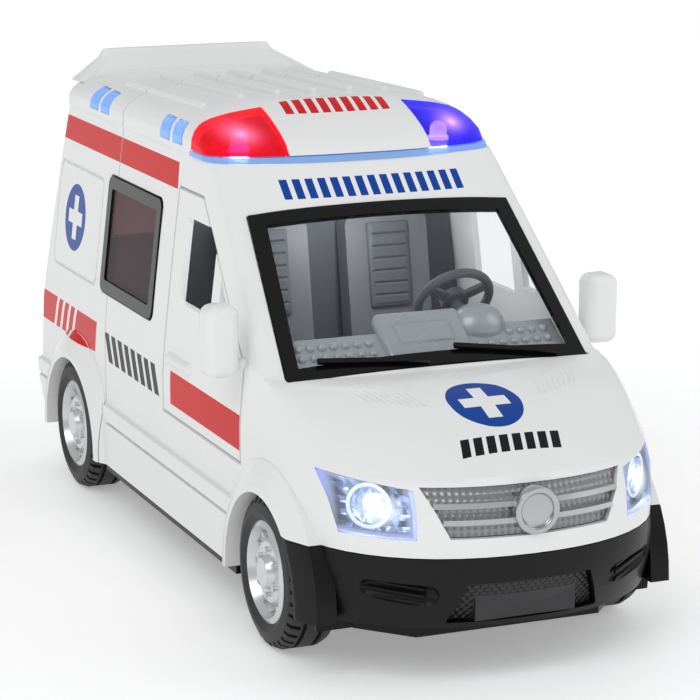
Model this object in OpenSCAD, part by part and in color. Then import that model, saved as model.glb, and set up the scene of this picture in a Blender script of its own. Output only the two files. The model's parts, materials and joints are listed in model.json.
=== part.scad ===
// Toy ambulance van with light-up roof lamps, a friction drive and rear doors that open.
// Millimetres. Origin on the ground under the middle of the body, nose towards -Y, +Z up.

/* [Body] */
// Length from the nose to the tail
body_length = 275; // [264:1:288]
// Width of the body at the belt line
body_width = 100; // [96:1:105]
// Height of the lower edge of the sills above the ground
sill_z = 15; // [14:0.5:16.5]
// Height of the joint between the front bumper and the painted nose
bumper_top_z = 35.5; // [34:0.5:37]
// Height of the belt line, above which the sides lean in
belt_z = 56; // [52:1:60]
// Height of the joint between the body and the roof cap
split_z = 119.5; // [117:0.5:122]
// Height of the top of the roof cap
roof_z = 135; // [133:0.5:138]
// Lean of each side from the belt to the roof joint
tumblehome = 7.4; // [6:0.2:9]
// Forward lean of the tail from the bumper to the roof joint
tail_lean = 13.5; // [10:0.5:16]
// Thickness of the moulded walls
wall = 1.8; // [1.5:0.1:2.1]

/* [Nose and windscreen] */
// Height of the front edge of the bonnet
bonnet_front_z = 55; // [54:0.5:57]
// Height of the foot of the windscreen
cowl_z = 71; // [70:0.5:73]
// Distance from the nose back to the foot of the windscreen
cowl_back = 55.5; // [52:0.5:59]
// Distance from the nose back to the top of the front header
header_back = 111; // [107:0.5:115]
// Rise of the bonnet's crown between its two ends
bonnet_crown = 4.5; // [3.5:0.1:4.8]
// Length of the rounded nose in plan
nose_depth = 44; // [40:1:47]
// Half width of the windscreen frame at its foot
screen_low_w = 43.9; // [42:0.2:44.4]
// Half width of the windscreen frame at its head
screen_top_w = 39; // [37:0.2:40]
// Width of the black border round the windscreen
screen_border = 4.2; // [3:0.2:5]

/* [Wheels] */
// Diameter of the tyres
wheel_d = 41.3; // [40:0.2:42]
// Width of a tyre
tyre_w = 15; // [13.5:0.5:15.5]
// Width over the outer faces of the tyres
track_w = 105; // [103:0.5:107]
// Diameter of the rims where the tyres sit
rim_d = 27.4; // [26:0.2:29]
// Distance between the axles
wheelbase = 171.5; // [168:0.5:175]
// Distance from the nose back to the front axle
front_overhang = 55.5; // [54:0.5:58]
// Diameter of the steel axles
axle_d = 3; // [2.6:0.1:3.2]
// Radius of the wheel arches
arch_r = 25.5; // [25:0.1:26]

/* [Roof lamps] */
// Distance from the middle to the inner end of each roof lamp
lamp_in_x = 21.8; // [18:0.2:25]
// Distance from the front header back to the rear end of each roof lamp
lamp_len = 24.5; // [20:0.5:28]
// Number of ribs along the roof
rib_count = 7; // [3:2:9]
// Diameter of the lamp diodes
led_d = 5; // [3:0.5:5]

/* [Rear doors] */
// Half width of the pair of rear doors
door_half_w = 38; // [35:0.5:38.5]
// Height of the lower edge of the rear doors above the bumper joint, along the tail
door_low = 6; // [5:0.5:9]
// Height of the rear doors along the tail
door_h = 70; // [64:0.5:71]
// Thickness of the rear doors
door_t = 2.4; // [2:0.1:2.8]
// Diameter of the door hinge pins
hinge_pin_d = 1.8; // [1.6:0.1:2]

/* [Friction drive] */
// Module of the gears
gear_module = 0.6; // [0.58:0.01:0.62]
// Teeth of the gear on the rear axle
axle_teeth = 26; // [24:1:26]
// Teeth of the small gear on the lay shaft
lay_small_teeth = 10; // [10:1:11]
// Teeth of the large gear on the lay shaft
lay_large_teeth = 26; // [24:1:26]
// Teeth of the pinion on the flywheel shaft
fly_teeth = 9; // [9:1:10]
// Diameter of the flywheel
flywheel_d = 17.4; // [15:0.2:17.6]

/* [Hidden] */
$fn = 64;

// How far a cut runs past the face that it opens
overrun = 1;
// Gap between neighbouring mouldings
play = 0.3;
// Radial clearance of a shaft in its bearing
running = 0.06;
// How far joined shapes of one moulding sink into each other
bond = 0.4;

// Positions along the van
nose_y = -body_length / 2;
tail_y = body_length / 2;
cowl_y = nose_y + cowl_back;
header_y = nose_y + header_back;
front_axle_y = nose_y + front_overhang;
rear_axle_y = front_axle_y + wheelbase;
axle_z = wheel_d / 2;
axle_r = axle_d / 2;
lamp_back_y = header_y + lamp_len;
cab_door_back = 87;
front_door_y = front_axle_y + cab_door_back;
bulkhead_back = 6;
bulkhead_y = front_door_y + bulkhead_back;
seam_ahead = 29;
seam_y = rear_axle_y - seam_ahead;

// Shape of the body form
belt_half_w = body_width / 2;
tumble_power = 1.15;
nose_rise = 6.5;
nose_z = bumper_top_z + nose_rise;
nose_round = 4.5;
nose_tuck = 7;
nose_power = 2.2;
pillar_depth = 9;
pillar_power = 2.4;
corner_depth = 7;
corner_power = 3;
tail_tuck = 13;
tuck_power = 2.5;
front_steps = 24;
rear_steps = 8;
nose_steps = 6;
bonnet_steps = 6;
screen_steps = 6;

// Shape of the roof cap
cap_power = 3.2;
cap_lip = 0.4;
cap_front_in = 28.3;
cap_front_power = 1.6;
cap_rear_in = 14;
cap_front_depth = 14;
cap_end_power = 2.4;
cap_top_angle = 76;
cap_steps = 9;
tray_t = 1.4;
roof_fall = 4.8;

// Chassis and wheel wells
plate_t = 3;
plate_z = sill_z - plate_t;
arch_rise = 1.5;
arch_z = sill_z + arch_rise;
liner_gap = 0.3;
liner_t = 1.4;
liner_r = arch_r + liner_gap;
well_r = liner_r + liner_t;
wheel_in_x = track_w / 2 - tyre_w;
well_gap = 4;
well_in_x = wheel_in_x - well_gap;
well_out_x = belt_half_w - wall - play;
boss_wall = 2.6;
boss_r = axle_r + boss_wall;
boss_len = 8;
plate_half_w = belt_half_w - play;

// Wheels
tyre_wall = 1.1;
hub_wall = 2.3;
hub_r = axle_r + hub_wall;
tread_count = 36;
tread_cut = 1.1;
tread_gap = 1.2;
shoulder_w = 3.4;
tyre_edge_drop = 0.9;
tyre_edge_in = 1.4;
tyre_side_drop = 2.6;
tyre_side_in = 0.5;
bump_count = 12;
lug_count = 6;

// Openings in the sides
door_window_rise = 7;
door_window_low_z = cowl_z + door_window_rise;
door_window_h = 24.5;
door_window_len = 26;
door_window_ahead = 9;
door_window_y = front_door_y - door_window_ahead - door_window_len;
side_window_drop = 3;
side_window_low_z = cowl_z - side_window_drop;
side_window_h = 36;
side_window_len = 50.5;
side_window_back = 12.5;
side_window_y = front_door_y + side_window_back;
side_window_border = 4;
window_corner_r = 3;
groove_depth = 0.6;
groove_w = 1;

// Tail, leaning with the rear doors
tail_run = split_z - bumper_top_z;
tail_angle = atan(tail_lean / tail_run);
hinge_pin_r = hinge_pin_d / 2;
hinge_wall = 0.6;
hinge_barrel_r = hinge_pin_r + hinge_wall;
hinge_off = 1.2;
hinge_out = 1.9;
hinge_h = 5;
hinge_inset = 9;
door_mid_gap = 0.6;

// Windscreen plane
screen_run = split_z - cowl_z;
screen_back = header_y - cowl_y;
screen_angle = atan(screen_back / screen_run);
screen_len = sqrt(screen_run * screen_run + screen_back * screen_back);
screen_low = 1.5;
screen_share = 0.765;
screen_h = screen_len * screen_share;
screen_bow = 3;
screen_bow_r = (screen_low_w * screen_low_w + screen_bow * screen_bow) / (2 * screen_bow);
screen_frame_t = 1.6;
screen_glass_t = 1.1;
screen_proud = 0.5;
screen_fit = 0.1;

// Cab and patient bay
floor_z = arch_z + well_r + play;
floor_t = 1.6;
floor_top_z = floor_z + floor_t;

function mix(a, b, s) = a + (b - a) * s;
function end_curve(u, n) = 1 - pow(max(0, 1 - pow(abs(u), n)), 1 / n);
function half_w(z) = belt_half_w
    - tumblehome * pow(max(0, z - belt_z) / (split_z - belt_z), tumble_power);
function nose_in(z) = z > nose_z
    ? nose_round * pow((z - nose_z) / (bonnet_front_z - nose_z), 2)
    : nose_tuck * pow((nose_z - z) / (nose_z - sill_z), 2);
function tail_at(z) = z > bumper_top_z
    ? tail_y - tail_lean * (z - bumper_top_z) / tail_run
    : tail_y - tail_tuck * pow((bumper_top_z - z) / (bumper_top_z - sill_z), tuck_power);

// Front and rear faces of the moulding at a place x across and z up, for the part below the bonnet
function nose_at(x, z, inset) = nose_y + nose_in(z) + inset
    + nose_depth * end_curve(min(1, x / (half_w(z) - inset)), nose_power);
function tail_face(x, z, inset) = tail_at(z) - inset
    - corner_depth * end_curve(min(1, x / (half_w(z) - inset)), corner_power);

// A closed outline at one height: a rounded front and a rounded rear with straight sides between
function ring(z, w, y0, d0, n0, y1, d1, n1) = concat(
    [for (i = [0:front_steps])
        let (u = sin(mix(-90, 90, i / front_steps)))
        [w * u, y0 + d0 * end_curve(u, n0), z]],
    [for (i = [0:rear_steps])
        let (u = sin(mix(90, -90, i / rear_steps)))
        [w * u, y1 - d1 * end_curve(u, n1), z]]);

// Heights of the body form with the front face at each and a share from nose (0) to windscreen (1)
body_levels = concat(
    [for (i = [0:nose_steps])
        let (z = mix(sill_z, bonnet_front_z, i / nose_steps))
        [z, nose_y + nose_in(z), 0]],
    [for (i = [1:bonnet_steps])
        let (s = i / bonnet_steps)
        [mix(bonnet_front_z, cowl_z, s) + bonnet_crown * sin(180 * s), mix(nose_y + nose_round, cowl_y, s), s]],
    [for (i = [1:screen_steps])
        let (s = i / screen_steps)
        [mix(cowl_z, split_z, s), mix(cowl_y, header_y, s), 1]]);

function body_ring(level, inset, drop) = ring(
    level[0] - drop,
    half_w(level[0]) - inset,
    level[1] + inset,
    mix(nose_depth, pillar_depth, level[2]),
    mix(nose_power, pillar_power, level[2]),
    tail_at(level[0]) - inset,
    corner_depth,
    corner_power);

// The roof cap's height and width at an angle round its cross section
cap_half_w = half_w(split_z) + cap_lip;
cap_h = roof_z - split_z;
function cap_share(a) = pow(sin(a), 2 / cap_power);
function cap_fall(y) = 1 - roof_fall / cap_h * (y - header_y) / (tail_at(split_z) - header_y);
function cap_ring(a, inset, drop) = [for (p = cap_plan(a, inset))
    [p[0], p[1], split_z + cap_h * cap_share(a) * cap_fall(p[1]) - drop]];
function cap_plan(a, inset) = ring(
    split_z,
    cap_half_w * pow(cos(a), 2 / cap_power) - inset,
    header_y - cap_lip + cap_front_in * pow(cap_share(a), cap_front_power) + inset,
    cap_front_depth,
    cap_end_power,
    tail_at(split_z) + cap_lip - cap_rear_in * (1 - pow(cos(a), 2 / cap_power)) - inset,
    corner_depth,
    corner_power);
function roof_at(x, y) = split_z
    + cap_h * cap_fall(y) * pow(1 - pow(min(1, abs(x) / cap_half_w), cap_power), 1 / cap_power);

// A solid through a stack of outlines
module loft(rings) {
    n = len(rings[0]);
    m = len(rings);
    polyhedron(
        points = [for (r = rings) for (p = r) p],
        faces = concat(
            [[for (j = [0:n - 1]) j]],
            [[for (j = [n - 1:-1:0]) (m - 1) * n + j]],
            [for (i = [0:m - 2]) for (j = [0:n - 1])
                [i * n + j, (i + 1) * n + j, (i + 1) * n + (j + 1) % n]],
            [for (i = [0:m - 2]) for (j = [0:n - 1])
                [i * n + j, (i + 1) * n + (j + 1) % n, i * n + (j + 1) % n]]));
}

module body_form(inset = 0, drop = 0) {
    loft([for (level = body_levels) body_ring(level, inset, drop)]);
}

module cap_form(inset = 0, drop = 0) {
    loft([for (i = [0:cap_steps]) cap_ring(cap_top_angle * i / cap_steps, inset, drop)]);
}

// A curved plate on the nose or the tail, between four corners given as [x, z]
function patch_place(corners, s, t) =
    mix(mix(corners[0], corners[1], s), mix(corners[3], corners[2], s), t);
function patch_y(p, inset, on_nose) = on_nose
    ? nose_at(abs(p[0]), p[1], inset)
    : tail_face(abs(p[0]), p[1], inset);
module skin_patch(corners, inset, thick, across, up, on_nose = true) {
    near = [for (j = [0:up]) for (i = [0:across])
        let (p = patch_place(corners, i / across, j / up))
        [p[0], patch_y(p, inset, on_nose), p[1]]];
    far = [for (j = [0:up]) for (i = [0:across])
        let (p = patch_place(corners, i / across, j / up))
        [p[0], patch_y(p, inset, on_nose) + (on_nose ? thick : -thick), p[1]]];
    n = across + 1;
    k = len(near);
    rim = concat(
        [for (i = [0:across]) i],
        [for (j = [1:up]) j * n + across],
        [for (i = [across - 1:-1:0]) up * n + i],
        [for (j = [up - 1:-1:1]) j * n]);
    flip = (corners[1][0] > corners[0][0]) == on_nose;
    faces = concat(
        [for (j = [0:up - 1]) for (i = [0:across - 1]) [j * n + i, (j + 1) * n + i, (j + 1) * n + i + 1]],
        [for (j = [0:up - 1]) for (i = [0:across - 1]) [j * n + i, (j + 1) * n + i + 1, j * n + i + 1]],
        [for (j = [0:up - 1]) for (i = [0:across - 1])
            [k + j * n + i, k + (j + 1) * n + i + 1, k + (j + 1) * n + i]],
        [for (j = [0:up - 1]) for (i = [0:across - 1])
            [k + j * n + i, k + j * n + i + 1, k + (j + 1) * n + i + 1]],
        [for (q = [0:len(rim) - 1]) [rim[q], rim[(q + 1) % len(rim)], k + rim[(q + 1) % len(rim)]]],
        [for (q = [0:len(rim) - 1]) [rim[q], k + rim[(q + 1) % len(rim)], k + rim[q]]]);
    polyhedron(
        points = concat(near, far),
        faces = flip ? faces : [for (f = faces) [f[2], f[1], f[0]]]);
}

// Extrusions along X and along Y of an outline drawn in [y, z] or in [x, z]
module along_x(x0, x1) {
    translate([x0, 0, 0])
        rotate([90, 0, 90])
            linear_extrude(x1 - x0)
                children();
}

module along_y(y0, y1) {
    translate([0, y1, 0])
        rotate([90, 0, 0])
            linear_extrude(y1 - y0)
                children();
}

// A rectangle with round corners, from its low corner
module round_rect(size, r) {
    hull()
        for (x = [r, size[0] - r])
            for (y = [r, size[1] - r])
                translate([x, y])
                    circle(r, $fn = 24);
}

// An upright cylinder along X
module rod_x(x0, x1, r) {
    translate([x0, 0, 0])
        rotate([0, 90, 0])
            cylinder(h = x1 - x0, r = r);
}

module at_axle(y) {
    translate([0, y, axle_z])
        children();
}

// A place on the leaning tail: x across, y out of the tail, z up along it
module on_tail() {
    translate([0, tail_y, bumper_top_z])
        rotate([tail_angle, 0, 0])
            children();
}

// A place on the windscreen: x across, -y out of the glass, z up along it
module on_screen() {
    translate([0, cowl_y, cowl_z])
        rotate([-screen_angle, 0, 0])
            children();
}

// Body mouldings

arch_flare_w = 8.5;
arch_flare_out = 3.6;
arch_lip_w = 2.2;
arch_flare_root = 4;

// The raised ring round one wheel arch, on the side given by its sign
module arch_flare(y, side) {
    base_x = belt_half_w - bond - groove_depth;
    deep_x = base_x - arch_flare_root;
    root_r = well_r + 2 * play;
    translate([0, y, arch_z])
        rotate([0, side * 90, 0])
            rotate_extrude($fn = 44)
                polygon([
                    [arch_r, base_x],
                    [arch_r, belt_half_w + arch_flare_out],
                    [arch_r + arch_lip_w, belt_half_w + arch_flare_out],
                    [arch_r + arch_flare_w, belt_half_w + bond],
                    [arch_r + arch_flare_w, deep_x],
                    [root_r, deep_x],
                    [root_r, base_x]]);
}

module arch_cuts(y) {
    for (side = [-1, 1])
        translate([0, y, arch_z])
            rotate([0, side * 90, 0])
                translate([0, 0, well_in_x])
                    cylinder(h = belt_half_w, r = arch_r, $fn = 44);
}

// Everything below the bumper joint ahead of the front axle
module bumper_zone(gap) {
    translate([-body_width, nose_y - body_width, -body_width])
        cube([2 * body_width, front_axle_y - nose_y + body_width, bumper_top_z + gap + body_width]);
}

// Lower cladding along the sides, with a step at its upper edge
cladding_out = 1.3;
cladding_h = 13;
cladding_top_z = sill_z + cladding_h;
cladding_step_h = 5.5;
cladding_step_z = cladding_top_z + cladding_step_h;

module cladding() {
    intersection() {
        difference() {
            body_form(-cladding_out);
            body_form(bond);
        }
        union() {
            translate([-body_width, front_axle_y, sill_z])
                cube([2 * body_width, body_length, cladding_top_z - sill_z]);
            translate([-body_width, front_axle_y, cladding_top_z + groove_w])
                cube([2 * body_width, body_length, cladding_step_z - cladding_top_z - groove_w]);
        }
    }
}

module plain_shell() {
    difference() {
        union() {
            body_form();
            cladding();
            for (side = [-1, 1]) {
                arch_flare(front_axle_y, side);
                arch_flare(rear_axle_y, side);
            }
        }
        body_form(wall, wall);
        translate([-body_width, -body_length, sill_z - body_width])
            cube([2 * body_width, 2 * body_length, body_width]);
        arch_cuts(front_axle_y);
        arch_cuts(rear_axle_y);
        bumper_zone(0);
    }
}

// Outline of the cab door on the side, as a thin frame
cab_door_low = 9;
door_low_z = bumper_top_z + cab_door_low;
cab_door_drop = 10;
door_top_z = split_z - cab_door_drop;
cab_door_front = 22.5;
door_front_y = front_axle_y + cab_door_front;
door_slope_y = door_front_y + (door_top_z - cowl_z) * screen_back / screen_run;

module door_outline(grow) {
    offset(delta = grow)
        polygon([
            [door_front_y, door_low_z],
            [front_door_y, door_low_z],
            [front_door_y, door_top_z],
            [door_slope_y, door_top_z],
            [door_front_y, cowl_z]]);
}

// Shallow grooves where a flat outline meets the body's outer face
module engrave(depth) {
    difference() {
        children();
        body_form(depth);
    }
}

module screen_outline(grow) {
    offset(r = grow, $fn = 24)
        polygon([
            [-screen_low_w, screen_low],
            [screen_low_w, screen_low],
            [screen_top_w, screen_low + screen_h],
            [-screen_top_w, screen_low + screen_h]]);
}

// Corners of the lamps and the grille on the nose as [x, z]
grille_top_w = 27.6;
grille_low_w = 21.5;
grille_drop = 1.2;
grille_low_z = nose_z - grille_drop;
grille_lip = 2.2;
grille_top_z = bonnet_front_z - grille_lip;
lamp_gap = 2;
lamp_inner_x = grille_top_w + lamp_gap;
lamp_edge = 3.2;
lamp_outer_x = belt_half_w - lamp_edge;
lamp_sink = 1.6;
lamp_low_z = nose_z - lamp_sink;
lamp_lip = 0.4;
lamp_high_z = bonnet_front_z - lamp_lip;
lamp_drop = 2.6;
lamp_lens_inset = 0.3;
lamp_lens_t = 1.2;

function lamp_corners(side, gap) = [
    [side * (lamp_inner_x - gap), lamp_low_z - gap],
    [side * (lamp_outer_x - lamp_drop + gap), lamp_low_z - gap],
    [side * (lamp_outer_x + gap), lamp_high_z + gap],
    [side * (lamp_inner_x - gap), lamp_high_z - lamp_drop + gap]];
function grille_corners(gap) = [
    [-grille_low_w - gap, grille_low_z - gap],
    [grille_low_w + gap, grille_low_z - gap],
    [grille_top_w + gap, grille_top_z + gap],
    [-grille_top_w - gap, grille_top_z + gap]];

vent_count = 8;
vent_x = 16.4;
vent_step = 1.9;
vent_len = 7;
vent_w = 1;
vent_depth = 0.9;
vent_back = 32;
vent_y = nose_y + vent_back;
handle_len = 17;
handle_ahead = 5;
handle_h = 2.6;
handle_rise = 5;
handle_z = belt_z + handle_rise;
handle_out = 1.4;

// Slanted slats in the bonnet beside its middle
module bonnet_vents() {
    engrave(vent_depth)
        for (side = [-1, 1])
            for (i = [0:vent_count - 1])
                translate([side * (vent_x + i * vent_step), vent_y + i * vent_step / 2, cowl_z - wall])
                    hull()
                        for (s = [0, 1])
                            translate([side * s * vent_len / 3, s * vent_len, 0])
                                cylinder(h = body_width, d = vent_w, center = true, $fn = 8);
}

module door_handles() {
    for (side = [-1, 1])
        hull()
            for (s = [0, 1])
                translate([side * (half_w(handle_z) - bond), front_door_y - handle_ahead - s * handle_len, handle_z])
                    sphere(d = handle_h + handle_out - bond, $fn = 14);
}

quarter_w = 9;
quarter_h = 9;

module front_shell() {
    color("white")
        difference() {
            union() {
                plain_shell();
                difference() {
                    door_handles();
                    body_form(bond);
                }
            }
            translate([-body_width, seam_y, 0])
                cube([2 * body_width, body_length, 2 * roof_z]);
            on_screen()
                rotate([90, 0, 0])
                    translate([0, 0, -header_back / 4])
                        linear_extrude(header_back / 2)
                            screen_outline(play);
            for (side = [-1, 1])
                along_y(nose_y - overrun, front_axle_y)
                    polygon(lamp_corners(side, play));
            along_y(nose_y - overrun, nose_y + nose_depth / 2)
                polygon(grille_corners(play));
            along_x(-body_width, body_width)
                translate([door_window_y, door_window_low_z])
                    hull() {
                        square([door_window_len, window_corner_r]);
                        translate([0, door_window_h - 3 * window_corner_r])
                            square([door_window_len, window_corner_r]);
                        translate([2 * window_corner_r, door_window_h - window_corner_r])
                            square([door_window_len - 2 * window_corner_r, window_corner_r]);
                    }
            along_x(-body_width, body_width)
                translate([door_window_y - quarter_w - 2 * window_corner_r, door_window_low_z + window_corner_r])
                    polygon([
                        [0, 0],
                        [quarter_w, 0],
                        [quarter_w, quarter_h]]);
            along_x(-body_width, body_width)
                translate([side_window_y - play, side_window_low_z - play])
                    round_rect([side_window_len + 2 * play, side_window_h + 2 * play], window_corner_r);
            engrave(groove_depth)
                along_x(-body_width, body_width)
                    difference() {
                        door_outline(groove_w / 2);
                        door_outline(-groove_w / 2);
                    }
            bonnet_vents();
        }
}

panel_low_z = side_window_low_z;
panel_drop = 2;
panel_h = side_window_h - panel_drop;
panel_len = 46;
panel_gap = 5;
panel_y = side_window_y + side_window_len + panel_gap;
tail_lamp_rise = 8;
tail_lamp_low_z = bumper_top_z + tail_lamp_rise;
tail_lamp_top = 12;
tail_lamp_high_z = belt_z + tail_lamp_top;
tail_lamp_gap = 4;
tail_lamp_in_x = door_half_w + tail_lamp_gap;
tail_lamp_edge = 3.4;
tail_lamp_out_x = belt_half_w - tail_lamp_edge;

function tail_lamp_corners(side, gap) = [
    [side * (tail_lamp_in_x - gap), tail_lamp_low_z - gap],
    [side * (tail_lamp_out_x + gap), tail_lamp_low_z - gap],
    [side * (tail_lamp_out_x + gap), tail_lamp_high_z + gap],
    [side * (tail_lamp_in_x - gap), tail_lamp_high_z + gap]];

hinge_places = [door_low + hinge_inset, door_low + door_h - hinge_inset];

// The body's half of each door hinge: a pair of ears on each pin
module hinge_ears() {
    for (side = [-1, 1])
        for (z = hinge_places)
            for (end = [-1, 1])
                translate([side * (door_half_w + hinge_off), hinge_out, z + end * (hinge_h + play) - hinge_h / 2])
                    hull() {
                        cylinder(h = hinge_h - play, r = hinge_barrel_r, $fn = 20);
                        translate([side * hinge_barrel_r, -hinge_out - corner_depth / 2, 0])
                            cylinder(h = hinge_h - play, r = hinge_barrel_r / 2, $fn = 12);
                    }
}

module rear_shell() {
    color("white")
        difference() {
            union() {
                difference() {
                    plain_shell();
                    on_tail()
                        translate([-door_half_w - play, -corner_depth * 2, door_low - play])
                            cube([2 * (door_half_w + play), corner_depth * 3, door_h + 2 * play]);
                }
                difference() {
                    on_tail()
                        hinge_ears();
                    body_form(bond);
                }
            }
            translate([-body_width, seam_y - body_length, 0])
                cube([2 * body_width, body_length, 2 * roof_z]);
            on_tail()
                for (side = [-1, 1])
                    translate([side * (door_half_w + hinge_off), hinge_out, 0])
                        cylinder(h = tail_run, r = hinge_pin_r + play / 2, $fn = 20);
            along_x(-body_width, body_width)
                translate([side_window_y - play, side_window_low_z - play])
                    round_rect([side_window_len + 2 * play, side_window_h + 2 * play], window_corner_r);
            for (side = [-1, 1])
                along_y(tail_y - 3 * corner_depth, tail_y + overrun)
                    polygon(tail_lamp_corners(side, play));
            engrave(groove_depth)
                along_x(-body_width, body_width)
                    translate([panel_y, panel_low_z])
                        difference() {
                            round_rect([panel_len, panel_h], window_corner_r);
                            translate([groove_w, groove_w])
                                round_rect([panel_len - 2 * groove_w, panel_h - 2 * groove_w], window_corner_r);
                        }
        }
}

// Roof cap and its lamps

side_light_len = 8;
side_light_gap = 3;
side_light_h = 6;
side_light_rise = 0.6;
side_light_low_z = split_z + tray_t + side_light_rise;
side_light_rear = 5;
side_light_front = 74;
side_light_ys = [rear_axle_y - side_light_rear, rear_axle_y - side_light_front];
side_light_t = 1.2;
rib_r = 1.3;
rib_start = 14;
rib_front_y = lamp_back_y + rib_start;
rib_end = 8;
rib_rear_y = rear_axle_y - rib_end;
rib_share = 1.58;
rib_span = cap_half_w * rib_share;
wing_low = 7.5;
wing_step = 1.6;
wing_reach = 13;
wing_back = 4;
wing_r = 3;
wing_power = 3;
wing_foot_in = 2.2;
wing_foot_w = cap_half_w - wing_foot_in;
wing_top_in = 14.5;
wing_top_w = cap_half_w - wing_top_in;

module lamp_zone(gap, low_z) {
    for (side = [-1, 1])
        translate([side > 0 ? lamp_in_x - gap : -body_width - lamp_in_x + gap, header_y - body_width, low_z])
            cube([body_width, body_width + lamp_back_y - header_y + gap, 2 * roof_z]);
}

module side_light_boxes(gap) {
    for (y = side_light_ys)
        for (i = [-1, 0])
            translate([0, y + side_light_gap / 2 + i * (side_light_len + side_light_gap) - gap, side_light_low_z - gap])
                cube([body_width, side_light_len + 2 * gap, side_light_h + 2 * gap]);
}

// The raised fairing across the rear of the roof
module roof_wing() {
    y1 = tail_at(split_z);
    loft([
        ring(split_z + wing_low, wing_foot_w, y1 - wing_reach, wing_r, wing_power, y1, wing_r, wing_power),
        ring(roof_z - wing_step, wing_top_w + wing_step, y1 - wing_step, wing_r, wing_power,
            y1 + wing_back, wing_r, wing_power),
        ring(roof_z + wing_step / 2, wing_top_w, y1, wing_r / 2, wing_power,
            y1 + wing_back - wing_step / 2, wing_r / 2, wing_power)]);
}

module roof_cap() {
    color("white")
        difference() {
            union() {
                cap_form();
                roof_wing();
                for (i = [0:rib_count - 1]) {
                    x = mix(-rib_span / 2, rib_span / 2, i / (rib_count - 1));
                    hull()
                        for (y = [rib_front_y, rib_rear_y])
                            translate([x, y, roof_at(x, y)])
                                sphere(rib_r, $fn = 12);
                }
            }
            cap_form(wall, wall);
            lamp_zone(play, 0);
            translate([-body_width, header_y - body_width, 0])
                cube([2 * body_width, body_width + lamp_back_y - header_y + play, split_z + tray_t + play]);
            for (side = [-1, 1])
                mirror([side > 0 ? 0 : 1, 0, 0])
                    side_light_boxes(play);
            engrave_roof_seam();
        }
}

module engrave_roof_seam() {
    difference() {
        translate([-body_width, seam_y - groove_w / 2, 0])
            cube([2 * body_width, groove_w, 2 * roof_z]);
        cap_form(groove_depth, groove_depth);
    }
}

module lamp_tray() {
    color("deepskyblue")
        intersection() {
            cap_form(-cap_lip);
            translate([-body_width, header_y - body_width, split_z])
                cube([2 * body_width, body_width + lamp_back_y - header_y, tray_t]);
        }
}

lens_t = 1.4;

module lamp_lens(side) {
    intersection() {
        difference() {
            cap_form();
            cap_form(lens_t, lens_t);
        }
        translate([side > 0 ? lamp_in_x : -body_width - lamp_in_x, header_y - body_width, split_z + tray_t + play])
            cube([body_width, body_width + lamp_back_y - header_y, 2 * roof_z]);
    }
}

module red_lamp_lens() {
    color([0.9, 0.05, 0.15, 0.6])
        lamp_lens(-1);
}

module blue_lamp_lens() {
    color([0.1, 0.3, 0.95, 0.6])
        lamp_lens(1);
}

led_r = led_d / 2;
led_h = 5.5;
led_flange = 0.5;
roof_led_out = 9;
roof_led_x = lamp_in_x + roof_led_out;
roof_led_back = 18;
roof_led_y = header_y + roof_led_back;

// A diode: a flange, a barrel and a round tip, pointing up
module led() {
    cylinder(h = led_flange * 2, r = led_r + led_flange);
    cylinder(h = led_h - led_r, r = led_r);
    translate([0, 0, led_h - led_r])
        sphere(led_r);
}

module roof_lamp_leds() {
    color("white")
        for (side = [-1, 1])
            translate([side * roof_led_x, roof_led_y, split_z + tray_t])
                led();
}

// Flat lens blocks in the windows of the roof's sides
module side_light_lenses(side) {
    intersection() {
        difference() {
            cap_form(-cap_lip / 2);
            cap_form(side_light_t);
        }
        mirror([side > 0 ? 0 : 1, 0, 0])
            side_light_boxes(0);
    }
}

module side_light_lenses_left() {
    color([0.1, 0.4, 1, 0.7])
        side_light_lenses(1);
}

module side_light_lenses_right() {
    color([0.1, 0.4, 1, 0.7])
        side_light_lenses(-1);
}

// Nose pieces

bumper_out = 1;
bumper_t = 2.2;
bumper_rise = 1;
bumper_low_z = sill_z + bumper_rise;
bumper_steps = 6;
mesh_half_w = 21;
mesh_slope = 4;
mesh_rise = 1.4;
mesh_low_z = bumper_low_z + mesh_rise;
mesh_drop = 8;
mesh_high_z = bumper_top_z - mesh_drop;
scoop_in_x = 27;
scoop_len = 13;
scoop_rise = 9;
scoop_z = bumper_low_z + scoop_rise;
scoop_r = 3.4;
slat_step = 1.9;
slat_r = 0.5;
plate_pad_w = 14;
plate_pad_h = 6.5;
plate_pad_t = 1.6;

// One height of the bumper: the nose outline and a smaller one inside it, joined at the arches
function bumper_ring(z, out) = concat(
    [for (i = [0:front_steps])
        let (u = sin(mix(-90, 90, i / front_steps)))
        [(half_w(z) + out) * u, nose_at(abs((half_w(z) + out) * u), z, -out), z]],
    [for (i = [0:front_steps])
        let (u = sin(mix(90, -90, i / front_steps)), w = half_w(z) + out - bumper_t)
        [w * u, nose_at(abs(w * u), z, bumper_t - out), z]]);

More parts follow.
